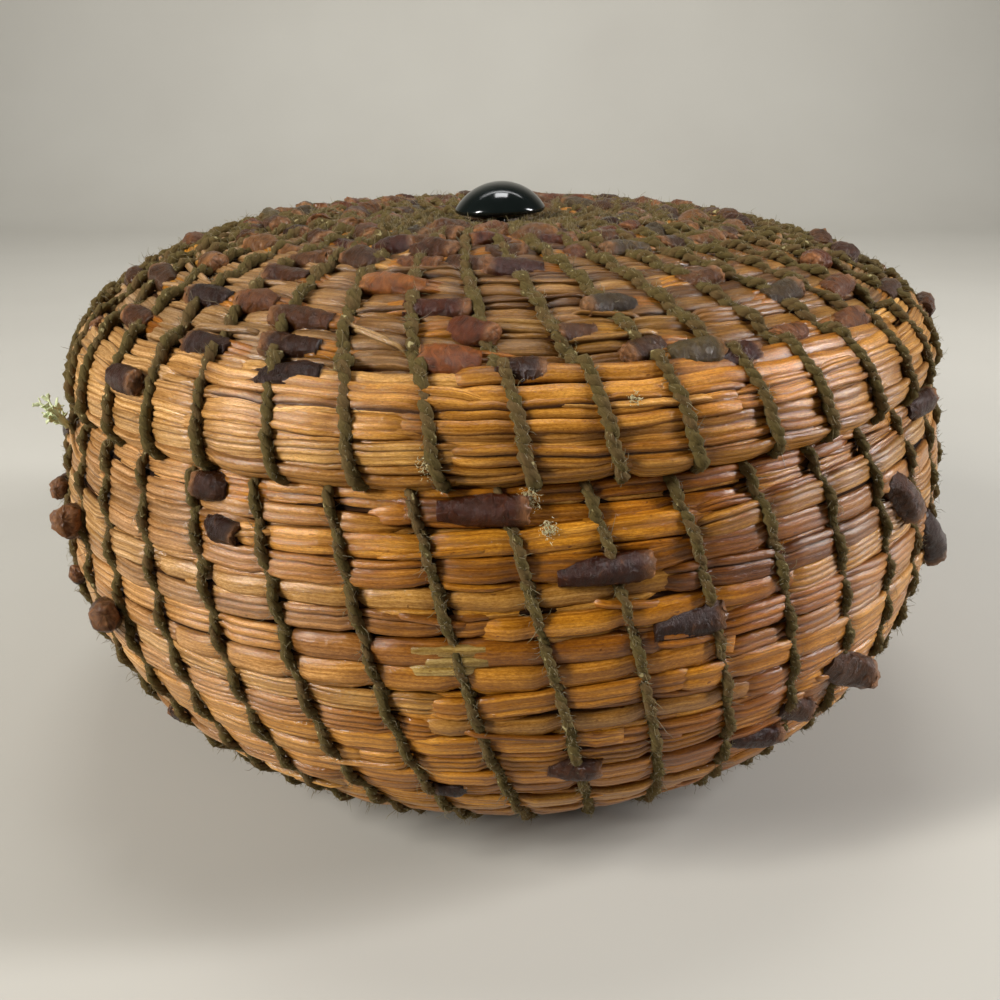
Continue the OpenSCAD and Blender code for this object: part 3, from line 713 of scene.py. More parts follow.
# %% Hoops: the rim and the locating ring
rim_s = lid_line["whole"] - RIM_H / 2
rim_fall = height_at(lid_line, rim_s - 0.4) - height_at(lid_line, rim_s + 0.4)
rim_lean = math.atan2(radius_at(lid_line, rim_s + 0.4) - radius_at(lid_line, rim_s - 0.4), rim_fall)
ring_outer = MOUTH_R - 2 * base_corner - RING_GAP
ring_h = RING_DROP + RIM_H * 0.6
rim_hoop = {"r": radius_at(lid_line, rim_s), "z": height_at(lid_line, rim_s), "lean": rim_lean,
            "height": RIM_H, "width": RIM_T, "fuller": 0.55}
ring_hoop = {"r": ring_outer - RING_T / 2, "z": lid_edge_h - RING_DROP + ring_h / 2, "lean": 0,
             "height": ring_h, "width": RING_T, "fuller": 0.0}

def oval_place(hoop, share, inset):
    """A point of the hoop's oval section and its outward direction; share goes round once."""
    r = hoop["width"] / 2
    straight = hoop["height"] - hoop["width"]
    whole = 2 * straight + 2 * math.pi * r
    d = (share % 1) * whole
    if d < straight:
        point, way = (r, -straight / 2 + d), (1, 0)
    elif d < straight + math.pi * r:
        a = (d - straight) / r
        way = (math.cos(a), math.sin(a))
        point = (r * way[0], straight / 2 + r * way[1])
    elif d < 2 * straight + math.pi * r:
        point, way = (-r, straight / 2 - (d - straight - math.pi * r)), (-1, 0)
    else:
        a = math.pi + (d - 2 * straight - math.pi * r) / r
        way = (math.cos(a), math.sin(a))
        point = (r * way[0], -straight / 2 + r * way[1])
    c, q = math.cos(hoop["lean"]), math.sin(hoop["lean"])
    turned = lambda v: np.array([v[0] * c - v[1] * q, v[0] * q + v[1] * c])
    fuller = hoop["fuller"] * (2 * way[0] * way[1]) ** 2 * (way[0] > 0)
    point = turned(np.array(point) + (fuller - inset) * np.array(way)) + (hoop["r"], hoop["z"])
    return point, turned(way)

def hoop_shift(above_rim):
    """Degrees that the lines of stitches turn, at mm above the upper side of the rim."""
    return SLANT * (above_rim - 2.3) / LID_STEP

def hoop_row(hoop, share, inset, squeeze=0.3):
    (r0, z0), way = oval_place(hoop, share, inset)
    side = np.array([-way[1], way[0]])

    def place(u, sideways, raised):
        angle = u / hoop["r"]
        stitches = (np.degrees(angle) + hoop_shift(z0 - lid_edge_h - RIM_H)) / LINE_ANGLE
        swollen = swell(stitches, hoop["r"], reach=1.25)
        lift = raised - squeeze * (1 - swollen)
        points = around(r0 + way[0] * lift + side[0] * sideways, angle,
                        z0 + way[1] * lift + side[1] * sideways)
        return points, around(way[0], angle, way[1]), swollen, np.ones(len(u))
    return place

def make_hoop(hoop, name, rows, width, thick, heart_name, replaced, tones=STRAW):
    piece = gather()
    once_round = 2 * math.pi * hoop["r"] + 6
    for k in range(rows):
        lay_row(piece, hoop_row(hoop, (k + 0.5) / rows, thick * 0.5), 0, once_round, width, thick,
                drift=1.9, tones=tones)
        lay_row(piece, hoop_row(hoop, k / rows, thick * 0.5), 0, once_round, *LID_THIN,
                tones=tones, **thin)
    make_piece(piece, name, "lid", pine_needle)
    piece = gather()
    angle = np.linspace(0, 2 * math.pi, 145)
    sweep(piece, around(hoop["r"], angle, hoop["z"]),
          around(-math.sin(hoop["lean"]), angle, math.cos(hoop["lean"])),
          ring_section(hoop["width"] - 1.3, hoop["height"] - 1.3, 12))
    make_piece(piece, heart_name, "lid", bundle_heart, [replaced])

def trough_row(s, out):
    """A row in the valley between the lid's last coil and its rim."""
    def place(u, sideways, raised):
        angle = np.degrees(u / rim_hoop["r"])
        points, normal = on_outline(lid_line, s + sideways, angle, out + raised)
        stitches = (angle + hoop_shift(lid_line["whole"] - RIM_H - s)) / LINE_ANGLE
        return points, normal, swell(stitches, rim_hoop["r"]), np.ones(len(u))
    return place

piece = gather()
for down, out in ((RIM_H + 0.9, 2.0), (RIM_H - 0.5, 2.3)):
    lay_row(piece, trough_row(lid_line["whole"] - down, out), 0, 2 * math.pi * rim_hoop["r"] + 6, 2.2, 1.5,
            tones=GOLD)
make_piece(piece, "trough_needles", "lid", pine_needle)
make_hoop(rim_hoop, "rim_needles", 11, 2.55, 1.35, "rim_heart", "lid_rim", tones=GOLD)
make_hoop(ring_hoop, "ring_needles", 12, 1.9, 1.15, "ring_heart", "locating_ring")

# %% [markdown]
# ## Stitches
# Each stitch is two plies twisted round each other. It comes up in the valley above its
# coil, crosses the coil on a slant, and goes down into the coil below, beside the start
# of the next stitch. That is how this kind of basket is sewn, and it gives the slanting,
# slightly stepped lines. Stray fibres are made later, from points kept along the thread.

# %% Thread
# Points along the thread of each body, for the stray fibres.
FUZZ = {"base": [], "lid": []}
# The turn where the stitching begins. A stitch's ends dive into the coil by DIVE_MM, over
# this share of a step.
FIRST_TURN, DIVE, DIVE_MM = 0.3, 0.13, 1.5

def resample(path, up, spacing):
    run = run_along(path)
    u = np.linspace(0, run[-1], max(6, int(run[-1] / spacing) + 1))
    pick = lambda v: np.stack([np.interp(u, run, v[:, k]) for k in range(3)], -1)
    return pick(path), unit(pick(up)), u

def thread(into, path, up, body, radius=0.42, spread=0.2, pitch=2.4, spacing=0.34, fuzz=1.0):
    """Two plies, each spread mm off the path, turn once in pitch mm; fuzz 1 is 8 fibres a mm."""
    path, up, u = resample(path, up, spacing)
    path = path + up * 0.05 * wander(u, 3.1)[:, None]
    ahead = unit(np.gradient(path, axis=0))
    across = unit(np.cross(ahead, up))
    turn = 2 * math.pi * u / pitch + rng.uniform(0, 6)
    for half in (0, math.pi):
        off = np.cos(turn + half)[:, None] * across + np.sin(turn + half)[:, None] * up
        thick = radius * rng.uniform(0.9, 1.1) * (1 + 0.1 * wander(u, 2.3)) * rng.normal(1, 0.1, len(u))
        sweep(into, path + off * spread, up, ring_section(2, 2, 7), wide=thick, high=thick,
              key=rng.uniform(0, 50), begin=u[0], rough=0.11)
    if fuzz > 0:
        at = rng.integers(1, len(u) - 1, rng.poisson(u[-1] * 8 * fuzz))
        turned = rng.uniform(-1.5, 1.5, (len(at), 1))
        side = up[at] * np.cos(turned) + across[at] * np.sin(turned)
        FUZZ[body].append(np.concatenate([path[at] + side * 0.4, side, ahead[at]], axis=1))

def stitch(into, spiral, number, face, height, body, reach=(-0.6, 0.72), dip=0.8, **more):
    """One stitch over the coil at a whole stitch phase; u runs inwards along the outline."""
    t = stitch_turn(spiral, number)
    if t < 0.2 or t > spiral["tip"] - 0.03:
        return
    line, p = spiral["line"], spiral["p"]
    size = float(bundle_size(spiral, t))
    mid = float(middle(spiral, t))
    u = np.linspace(reach[0], reach[1], 17)
    aside = rng.uniform(-0.12, 0.12) + 0.3 * smooth((u - 0.3) / 0.5) - 0.15 * smooth((-0.2 - u) / 0.4)
    s = np.clip(mid - u * p * np.where(u < 0, size, 1), 0.3, line["whole"])
    angle = 360 * t + spiral["end"] - spiral["slant"] * u
    angle = angle + np.degrees(aside / max(float(radius_at(line, mid)), 3))
    top = height(np.array([mid]))[0] * size + 0.8
    out = top - dip / 2 * (1 - np.cos(2 * math.pi * u))
    out = out - DIVE_MM * smooth((reach[0] + DIVE - u) / DIVE)
    out = out - DIVE_MM * smooth((u - reach[1] + DIVE) / DIVE)
    points, normal = on_outline(line, s, angle, face * out)
    thread(into, points, face * normal, body, **more)

def stitch_numbers(spiral, first, last):
    return range(math.ceil(phase(spiral, first)), math.floor(phase(spiral, last)) + 1)

def over_mouth(into, spiral, number, body):
    """A stitch over the free edge of the base, from the outside to the inside."""
    t = stitch_turn(spiral, number)
    size = float(bundle_size(spiral, t))
    a = np.radians(np.linspace(-62, 242, 40))
    s = float(middle(spiral, t)) + spiral["p"] * (0.52 * np.sin(a)) * np.where(np.sin(a) > 0, size, 1.0)
    angle = 360 * t + spiral["end"] + spiral["slant"] * np.sin(a) / 2
    points, normal = on_outline(spiral["line"], s, angle, np.cos(a) * (2.42 * size + 0.32))
    points[:, 2] += np.maximum(s - spiral["line"]["whole"], 0) * 0.6
    up = normal * np.cos(a)[:, None] + np.array([0, 0, 1.0]) * np.sin(a)[:, None]
    thread(into, points, unit(up), body)

print("one stitch of the wall turns round", round((BASE_STEP + 2) / 2.4, 1), "times")

# %% Stitches of the base
def base_thread_height(mid):
    """Over the rows of the outside, and just above the table under the floor."""
    return np.minimum(base_outer_height(mid), room_below(mid, 0.72) - 0.62)

tip = base_spiral["tip"]
piece = gather()
for number in stitch_numbers(base_spiral, WALL_TURN - 1, tip - 1):
    stitch(piece, base_spiral, number, OUTER, base_thread_height, "base", fuzz=1.5)
for number in stitch_numbers(base_spiral, tip - 1, tip - 0.04):
    over_mouth(piece, base_spiral, number, "base")
make_piece(piece, "wall_thread", "base", olive_thread, ["wall_stitching"])

def thinned(numbers, spiral, every):
    """Towards the centre only every second line goes on, and then every fourth."""
    return [n for n in numbers if n % every(stitch_turn(spiral, n)) == 0]

def floor_every(t):
    return 1 if t > 6 else 2 if t > 3 else 4

piece = gather()
floor_numbers = stitch_numbers(base_spiral, FIRST_TURN, WALL_TURN - 1)
for number in thinned(floor_numbers, base_spiral, floor_every):
    stitch(piece, base_spiral, number, OUTER, base_thread_height, "base", dip=0.5, spacing=0.8, fuzz=0.2)
make_piece(piece, "floor_thread", "base", olive_thread)
piece = gather()
inner_numbers = stitch_numbers(base_spiral, FIRST_TURN, tip - 1)
for number in thinned(inner_numbers, base_spiral, floor_every):
    stitch(piece, base_spiral, number, INNER, base_inner_height, "base", dip=0.8, spacing=0.8, fuzz=0.3)
make_piece(piece, "inside_thread", "base", olive_thread)

# %% Stitches of the lid
tip = lid_spiral["tip"]

def lid_every(t):
    return 1 if t > 3 else 2 if t > 1.2 else 4

def lid_top_height(mid):
    """Lower towards the button, whose tie pulls the centre down."""
    return lid_height(mid) - 0.8 * (1 - smooth((mid - 6) / 9))

piece = gather()
for number in thinned(stitch_numbers(lid_spiral, SLOPE_TURN, tip), lid_spiral, lid_every):
    stitch(piece, lid_spiral, number, OUTER, lid_height, "lid", dip=0.75, radius=0.5, spread=0.24,
           fuzz=1.5)
make_piece(piece, "lid_slope_thread", "lid", olive_thread, ["lid_stitching"])
piece = gather()
top_numbers = stitch_numbers(lid_spiral, FIRST_TURN, SLOPE_TURN)
for number in thinned(top_numbers, lid_spiral, lid_every):
    stitch(piece, lid_spiral, number, OUTER, lid_top_height, "lid", dip=0.9, radius=0.44, spread=0.24,
           fuzz=2.4)
make_piece(piece, "lid_top_thread", "lid", olive_thread, ["top_stitching"])
piece = gather()
inner_numbers = stitch_numbers(lid_spiral, FIRST_TURN, tip - 0.8)
for number in thinned(inner_numbers, lid_spiral, lid_every):
    stitch(piece, lid_spiral, number, INNER, lid_height, "lid", dip=0.8, spacing=0.8, fuzz=0.3)
make_piece(piece, "lid_inside_thread", "lid", olive_thread)

# %% Stitches round the rim and the locating ring
def round_hoop(hoop, shares, raise_by, angle):
    """A path round the hoop's section, and its outward directions."""
    places = [oval_place(hoop, share, -raise_by) for share in shares]
    r, z = np.array([place[0] for place in places]).T
    out, rise = np.array([place[1] for place in places]).T
    a = np.radians(angle - hoop_shift(z - lid_edge_h - RIM_H))
    return around(r, a, z), around(out, a, rise)

def rim_stitch(into, angle):
    """It comes up in the valley above the last coil's edge, and goes on round the rim."""
    down = np.linspace(-RIM_H - 3.2, -RIM_H * 0.55, 14)
    out = (3.0 - 2.4 * (1 - smooth((down + RIM_H + 3.2) / 1.1))
           - 0.25 * np.exp(-((down + RIM_H - 0.2) / 1.2) ** 2))
    slanted = angle + SLANT * (down + RIM_H + 2.3) / LID_STEP
    first, up = on_outline(lid_line, lid_line["whole"] + down, slanted, out)
    points, ups = round_hoop(rim_hoop, np.linspace(0.03, -0.62, 36), 0.1, angle)
    thread(into, np.concatenate([first, points]), np.concatenate([up, ups]), "lid", radius=0.48,
           spread=0.22, fuzz=1.3)

piece = gather()
for i in range(LINES):
    rim_stitch(piece, i * LINE_ANGLE + rng.uniform(-0.4, 0.4))
make_piece(piece, "rim_thread", "lid", olive_thread, ["rim_stitching"])
piece = gather()
for i in range(LINES):
    path, up = round_hoop(ring_hoop, np.linspace(-0.15, -0.98, 30), 0.12, (i + 0.5) * LINE_ANGLE)
    thread(piece, path, up, "lid", spacing=0.8, fuzz=0.3)
make_piece(piece, "ring_thread", "lid", olive_thread)

# %% [markdown]
# ## Needle sheaths
# A sheath is a papery sleeve of overlapping scales, 2 to 5 mm thick and 4 to 9 mm long.
# Its blunt end is broken off and shows rings, like a cut twig, and the needles leave it
# at the other end and go on along the coil. The rings of its mesh are pushed in and out
# by scale edges, ridges and lumps, so its outline is rough too, not only its shading.

# %% One sheath with the needles that leave it
BROWNS = {"dark": ["#2c1608", "#381c0a", "#42240c", "#28140a", "#4a290f"],
          "red": ["#401b08", "#4c230b", "#361607", "#562a0f"],
          "copper": ["#8f5524", "#a56224", "#854a20", "#b07433"],
          "rose": ["#57361a", "#663d1f", "#482c16", "#6e4825", "#3f2713", "#5d3017"],
          "grey": ["#453620", "#504224", "#3c301c"]}

# The inner rings of a blunt end: share of its radius, and how far out, in radii.
END_RINGS = {"rings": [(0.86, -0.02), (0.72, -0.16), (0.66, -0.02), (0.5, -0.2), (0.44, -0.05),
                       (0.26, -0.28), (0.12, -0.4)],
             "round": [(0.93, 0.1), (0.78, 0.2), (0.58, 0.28), (0.34, 0.33), (0.12, 0.34)]}
END_PALENESS = [0.55, 0.3, 0.6, 0.2, 0.5, 0.1, 0.05]
BROKEN = linear("#a9764c")

def sheath(into, centre, ahead, up, length, width, shade, blunt):
    """centre is its middle, ahead points to its blunt end and up away from the basket."""
    ahead, up = unit(ahead), unit(up)
    across = np.cross(ahead, up)
    up = np.cross(across, ahead)
    sides, steps = 22, 26
    a = np.linspace(0, 2 * math.pi, sides, endpoint=False)
    x = np.linspace(0, 1, steps)
    base = 0.78 + 0.22 * smooth(x / 0.35) - 0.1 * smooth((x - 0.75) / 0.25)
    bow = rng.uniform(-0.12, 0.12) * width
    scales = rng.uniform(3.5, 6.0)
    skew = rng.uniform(0, 1, 3)
    saw = (x[:, None] * scales + 0.35 * np.sin(a[None] * 2 + 6 * skew[0])
           + 0.2 * np.sin(a[None] * 5 + 6 * skew[1])) % 1
    ridges = 0.05 * np.sin(a[None] * rng.integers(5, 9) + 5 * x[:, None] + 6 * skew[2])
    lumps = sum(rng.uniform(-1, 1) * np.sin(a[None] * k + rng.uniform(0, 6))
                * np.sin(x[:, None] * w + rng.uniform(0, 6)) for k in (1, 2, 3) for w in (3, 7)) * 0.045
    fine = rng.normal(0, 0.02, (steps, sides))
    r = width / 2 * base[:, None] * (1 + 0.06 * (saw - 0.5) + ridges + 1.6 * lumps + fine)
    along = np.broadcast_to((x[:, None] - 0.5) * length, (steps, sides)).copy()
    along[-1] += rng.uniform(-0.3, 0.2, sides) * width * 0.5
    inner = END_RINGS[blunt]
    r = np.concatenate([r] + [r[-1:] * f * (1 + rng.normal(0, 0.05, (1, sides))) for f, _ in inner])
    along = np.concatenate([along] + [along[-1:] * 0 + 0.5 * length + d * width * 0.5
                            + rng.normal(0, 0.05, (1, sides)) * width * 0.5 for _, d in inner])
    lift = bow * np.sin(math.pi * (along / length + 0.5))
    rings = (centre + along[..., None] * ahead + (r * np.cos(a))[..., None] * across
             + (0.8 * r * np.sin(a) + lift)[..., None] * up)
    tint = linear(rng.choice(BROWNS[shade])) * rng.uniform(0.85, 1.2)
    share = np.r_[smooth((x - 0.82) / 0.18) * 0.45, END_PALENESS[:len(inner)]][:, None]
    middle_path = centre + along.mean(1)[:, None] * ahead
    close_rings(into, rings, middle_path, tint * (1 - share) + BROKEN * share, rng.uniform(0, 50), 0)

def sheath_on(into, needles, line, s, angle, height, length, width, shade, to_left, yaw, pitch,
              blunt, tail=9.0):
    """to_left is 1 if the blunt end points to smaller angles. Yaw turns it towards the free edge."""
    point, normal = on_outline(line, s, angle, height)
    q = math.radians(angle)
    along = np.array([-math.sin(q), math.cos(q), 0])
    ahead = along * (-1 if to_left else 1)
    edge = np.cross(along, normal)
    turn, lift = math.radians(yaw), math.radians(pitch)
    ahead = ahead * math.cos(turn) + edge * math.sin(turn)
    ahead = ahead * math.cos(lift) + normal * math.sin(lift)
    sheath(into, point + normal * math.sin(lift) * length * 0.3, ahead, normal, length, width, shade, blunt)
    if tail > 0:
        radius = max(float(radius_at(line, s)), 5)
        u = np.linspace(0, 1, 9)
        way = (1 if to_left else -1) * np.degrees((length * 0.3 + u * tail) / radius)
        foot = s - math.sin(turn) * length * 0.3
        low = height - 0.3 * length * math.sin(lift)
        out = low + (1.75 - low) * smooth(u * 3) - 0.9 * smooth(u * 1.1)
        path, up = on_outline(line, foot, angle + way, out)
        section, light = cluster_section(width * 0.82, 1.5, 3)
        tint = linear(rng.choice(STRAW)) * rng.uniform(0.75, 1.05)
        # Painted shade: the needles are darker where they come out from under the sheath.
        tone = (0.55 + 0.45 * smooth(u * 3))[:, None] * light
        sweep(needles, path, up, section, tint * tone[..., None], wide=1 - 0.15 * u,
              high=1 - 0.35 * u, key=rng.uniform(0, 50))

print("shades of sheath:", {name: len(shades) for name, shades in BROWNS.items()})

# %% [markdown]
# The sheaths of the front were placed one by one against the photograph. Each
# line gives the angle from the front, to the right, and the distance down the wall from
# the mouth, or up the lid from its edge. On the hidden back they follow the CAD model.
# Those that stick out far have a rounded tip, and the others a blunt end with rings.

# %% Sheaths of the wall
FRONT = 270

# angle, mm down, length, width, colour, blunt end to the left, yaw, pitch
WALL_SHEATHS = {
    "front": [(-29.5, 1.6, 3.8, 3.2, "dark", 1, 0, 16), (-27.6, 5.6, 4.4, 2.8, "dark", 0, 10, 8),
              (-1.5, 1.9, 8.6, 3.0, "red", 0, 0, 4), (9.5, 8.0, 9.2, 2.9, "red", 0, -4, 6),
              (17.5, 14.3, 7.4, 3.5, "dark", 0, -3, 5), (7.5, 30.2, 5.6, 3.0, "dark", 0, 0, 6),
              (-5.2, 34.2, 3.6, 2.2, "dark", 1, 0, 6)],
    "left": [(-57.5, 13.0, 8.6, 4.8, "dark", 0, -25, 20), (-65.5, 10.8, 5.5, 3.4, "dark", 0, 0, 24),
             (-60.0, 21.5, 6.0, 2.6, "red", 0, -35, 16), (-47.0, 20.8, 8.4, 4.4, "dark", 0, -30, 22),
             (-42.0, 35.0, 4.6, 2.6, "dark", 1, 0, 10), (-74.0, 6.5, 6.0, 3.0, "dark", 1, 0, 12),
             (-86.0, 14.0, 6.5, 3.0, "red", 1, 10, 14), (-96.0, 25.0, 6.0, 3.0, "dark", 0, 0, 12),
             (-80.0, 30.0, 6.0, 3.0, "dark", 1, 0, 10)],
    "right": [(47.5, 9.0, 6.8, 3.8, "dark", 0, 48, 14), (59.0, 17.5, 7.8, 4.2, "dark", 0, 55, 14),
              (40.0, 26.0, 8.6, 4.2, "dark", 0, 26, 18), (33.5, 29.4, 5.0, 3.2, "dark", 0, 14, 14),
              (28.5, 31.4, 6.4, 3.0, "red", 0, 0, 14), (55.5, 1.2, 5.4, 3.2, "dark", 0, 0, 18),
              (79.0, 19.0, 6.5, 3.0, "dark", 1, 0, 12), (92.0, 8.0, 6.0, 3.0, "red", 0, 8, 14),
              (68.0, 29.0, 6.0, 3.0, "dark", 0, 0, 16)],
    "back": [(126.8, 7.9, 6.4, 3.0, "dark", 0, 0, 10), (143.2, 18.5, 6.2, 3.0, "red", 1, 5, 12),
             (167.7, 7.9, 6.0, 3.0, "dark", 0, 0, 10), (-167.7, 13.2, 6.6, 3.0, "dark", 1, -6, 14),
             (-151.4, 23.8, 6.0, 3.0, "red", 0, 0, 10), (-143.2, 7.9, 6.4, 2.8, "dark", 1, 0, 12),
             (-126.8, 18.5, 6.2, 3.0, "dark", 0, 6, 12), (-175.9, 29.0, 5.6, 3.0, "dark", 1, 0, 10),
             (159.5, 13.2, 6.4, 3.0, "red", 0, 0, 12), (-118.6, 7.9, 6.0, 3.0, "dark", 1, 0, 10),
             (126.8, 23.8, 6.0, 3.0, "dark", 0, 4, 12)]}

tails = gather()
for region, places in WALL_SHEATHS.items():
    piece = gather()
    for angle, down, length, width, shade, to_left, yaw, pitch in places:
        s = base_line["whole"] - down
        sheath_on(piece, tails, base_line, s, FRONT + angle, 1.5 + width * 0.1, length, width, shade,
                  to_left, yaw, pitch, blunt="round" if pitch > 14 else "rings")
    make_piece(piece, f"wall_sheaths_on_the_{region}", "base", needle_sheath,
               [f"wall_sheaths_{region}"])
make_piece(tails, "wall_sheath_needles", "base", pine_needle)

# %% Sheaths of the lid's slope
# angle, mm up from the lid's edge, length, width, colour, blunt end to the left, yaw, pitch
SLOPE_SHEATHS = {
    "front": [(-22.5, 8.4, 7.8, 3.2, "dark", 1, 12, 2), (-23.5, 11.9, 6.4, 3.0, "dark", 1, 0, 3),
              (-24.5, 15.6, 7.0, 3.0, "dark", 1, 0, 3), (-15, 22.1, 6.6, 3.2, "copper", 1, 4, 3),
              (-8, 18.2, 6.6, 2.9, "red", 0, 0, 2), (-5.2, 10.9, 6.0, 3.5, "copper", 1, 0, 4),
              (-3.2, 14.6, 4.4, 3.2, "red", 0, 20, 6), (1.6, 9.7, 5.4, 3.0, "dark", 0, 0, 3),
              (15.5, 11.3, 4.2, 3.2, "rose", 1, 20, 8), (21, 10.3, 5.6, 3.4, "grey", 0, 0, 5),
              (25.5, 9.4, 5.0, 3.2, "red", 0, 0, 5), (2.5, 26.8, 6.0, 3.2, "red", 1, 0, 5),
              (14.0, 18.0, 5.2, 2.9, "grey", 1, 6, 4), (8.5, 14.0, 4.0, 2.8, "rose", 1, 10, 7)],
    "left": [(-35, 10.7, 6.2, 2.9, "dark", 1, 0, 3), (-42.5, 16.7, 6.2, 3.0, "dark", 1, 8, 5),
             (-44, 5.8, 5.8, 2.8, "dark", 0, 0, 3), (-34, 22.4, 5.4, 3.2, "dark", 1, 10, 7),
             (-33, 17.0, 4.6, 3.1, "rose", 1, 10, 8), (-52, 11.5, 5.6, 3.0, "dark", 1, 0, 6),
             (-60, 17.0, 5.6, 3.2, "rose", 1, 0, 8), (-66, 8.5, 5.6, 2.9, "dark", 0, 0, 6),
             (-75, 14.0, 5.8, 3.0, "dark", 1, 0, 6), (-88, 9.0, 6.0, 3.0, "red", 0, 0, 5),
             (-96, 18.0, 5.4, 3.0, "rose", 1, 0, 6), (-56, 22.0, 5.2, 3.1, "rose", 0, 0, 7),
             (-82, 21.5, 5.2, 3.0, "rose", 1, 0, 7)],
    "right": [(34.5, 10.8, 4.8, 3.1, "rose", 1, 10, 7), (46, 10.5, 5.0, 3.3, "rose", 0, 0, 8),
              (40, 16.5, 5.0, 3.4, "grey", 0, 0, 9), (52, 15.0, 5.2, 3.3, "rose", 0, 0, 9),
              (84, 19.3, 4.6, 3.8, "rose", 0, 0, 14), (76, 17.0, 4.8, 3.6, "dark", 0, 0, 12),
              (60, 19.5, 5.0, 3.3, "rose", 1, 0, 9), (66, 11.0, 5.4, 3.1, "rose", 0, 0, 7),
              (92, 12.0, 5.6, 3.0, "dark", 0, 0, 6), (30, 21.5, 5.0, 3.1, "rose", 0, 0, 7),
              (98, 7.0, 5.4, 2.9, "dark", 1, 0, 5), (72, 6.5, 5.4, 2.9, "dark", 0, 0, 5)],
    "back": [(126.8, 15.0, 6.0, 3.0, "dark", 0, 0, 5), (135, 23.5, 5.4, 3.1, "rose", 1, 0, 6),
             (151.4, 10.5, 6.0, 3.0, "red", 0, 0, 5), (159.5, 19.0, 5.6, 3.0, "rose", 1, 0, 6),
             (175.9, 23.5, 5.4, 3.0, "dark", 0, 0, 6), (-167.7, 14.5, 6.0, 3.0, "dark", 1, 0, 5),
             (-159.5, 23.5, 5.4, 3.1, "rose", 0, 0, 6), (-143.2, 19.0, 5.6, 3.0, "red", 1, 0, 6),
             (-135, 23.5, 5.4, 3.0, "rose", 0, 0, 6), (-118.6, 23.5, 5.4, 3.0, "rose", 1, 0, 6),
             (143.2, 26.5, 5.2, 3.0, "rose", 0, 0, 6), (-151.4, 26.5, 5.2, 3.0, "rose", 1, 0, 6),
             (-127, 14.5, 6.0, 3.0, "dark", 0, 0, 5), (167.7, 14.5, 6.0, 3.0, "dark", 1, 0, 5)]}

tails = gather()
for region, places in SLOPE_SHEATHS.items():
    piece = gather()
    for angle, up, length, width, shade, to_left, yaw, pitch in places:
        s = lid_line["whole"] - up
        sheath_on(piece, tails, lid_line, s, FRONT + angle, 1.7 if up > 8 else 3.3, length, width, shade,
                  to_left, yaw, pitch, blunt="rings" if rng.random() < 0.3 else "round", tail=7.0)
    make_piece(piece, f"slope_sheaths_on_the_{region}", "lid", needle_sheath,
               [f"slope_sheaths_{region}"])

# %% Sheaths that crowd the top of the lid
def crowd(into, first, last, spacing):
    """Towards the button nearly every needle cluster was laid in with its sheath on."""
    run = run_at(lid_spiral, first)
    while run < run_at(lid_spiral, last):
        t = float(np.interp(run, lid_spiral["run"], lid_spiral["t"]))
        length, width = rng.uniform(3.6, 5.6), rng.uniform(2.9, 3.8)
        s = float(middle(lid_spiral, t)) + rng.uniform(-1.1, 1.1)
        shade = rng.choice(["rose"] * 9 + ["dark", "dark", "red", "grey"])
        sheath_on(into, tails, lid_line, max(s, 1), 360 * t + lid_spiral["end"],
                  0.15 + 1.35 * smooth((t - 1.5) / 2.2) + rng.uniform(-0.3, 0.3),
                  length, width, shade, rng.random() < 0.3, rng.uniform(-25, 25), rng.uniform(0, 10),
                  blunt="round" if rng.random() < 0.7 else "rings", tail=5.0 if t > 2 else 0)
        run += spacing * rng.uniform(0.75, 1.35)

for name, first, last, spacing, node in (("inner", 0.9, 3, 4.6, "top_sheaths_inner"),
                                         ("middle", 3, 5, 4.9, "top_sheaths_middle"),
                                         ("outer", 5, 7.2, 6.4, "top_sheaths_outer")):
    piece = gather()
    crowd(piece, first, last, spacing)
    make_piece(piece, f"{name}_top_sheaths", "lid", needle_sheath, [node])
make_piece(tails, "lid_sheath_needles", "lid", pine_needle)

# %% [markdown]
# ## The button and how it is tied
# The knob is a domed black glass button, sewn on with the same thread. The glass was
# pressed in a mould and polished, and fingers have left a faint haze in patches of 4 to
# 5 mm. It is a lentil: a high upper cap and a low lower cap on one circle, with a small
# round edge. It leans a little, because nothing holds it level but its tie.

# %% Material: black glass
def place_on_object(tree):
    return add_node(tree, "ShaderNodeTexCoord", {}).outputs["Object"]

def glass_surface(tree):
    haze = noise(tree, place_on_object(tree), 220.0, Detail=3.0)
    return {"Base Color": blend(tree, haze, "#050807", "#0f1613"),
            "Roughness": between(tree, haze, 0.3, 0.7, 0.06, 0.16), "IOR": 1.52}

black_glass = make_material("black_glass", glass_surface)

# %% The button, its shank, the tie and the knots
KNOB_D, KNOB_H, KNOB_EDGE, KNOT_D, TIE_PLIES = 12.6, 5.1, 0.5, 3.2, 4
knob_low = KNOB_H * 0.28
knob_high = KNOB_H - knob_low
eye_z = lid_top_z - 0.8 * DIMPLE
knob_z = eye_z + lid_corner + SEAT_GAP

def revolve(into, profile, sides, tilt=0.0):
    """profile runs from the top of the axis to its bottom, as (radius, height) points."""
    a = np.linspace(0, 2 * math.pi, sides, endpoint=False)
    r, z = np.array(profile, float).T
    rings = around(r[:, None], a, z[:, None])
    rings[..., 2] += tilt * rings[..., 0]
    close_rings(into, rings[::-1], around(0 * r, 0, z)[::-1], WHITE, 0, 0)

def cap_radius(half, high):
    return (half * half + high * high) / (2 * high)

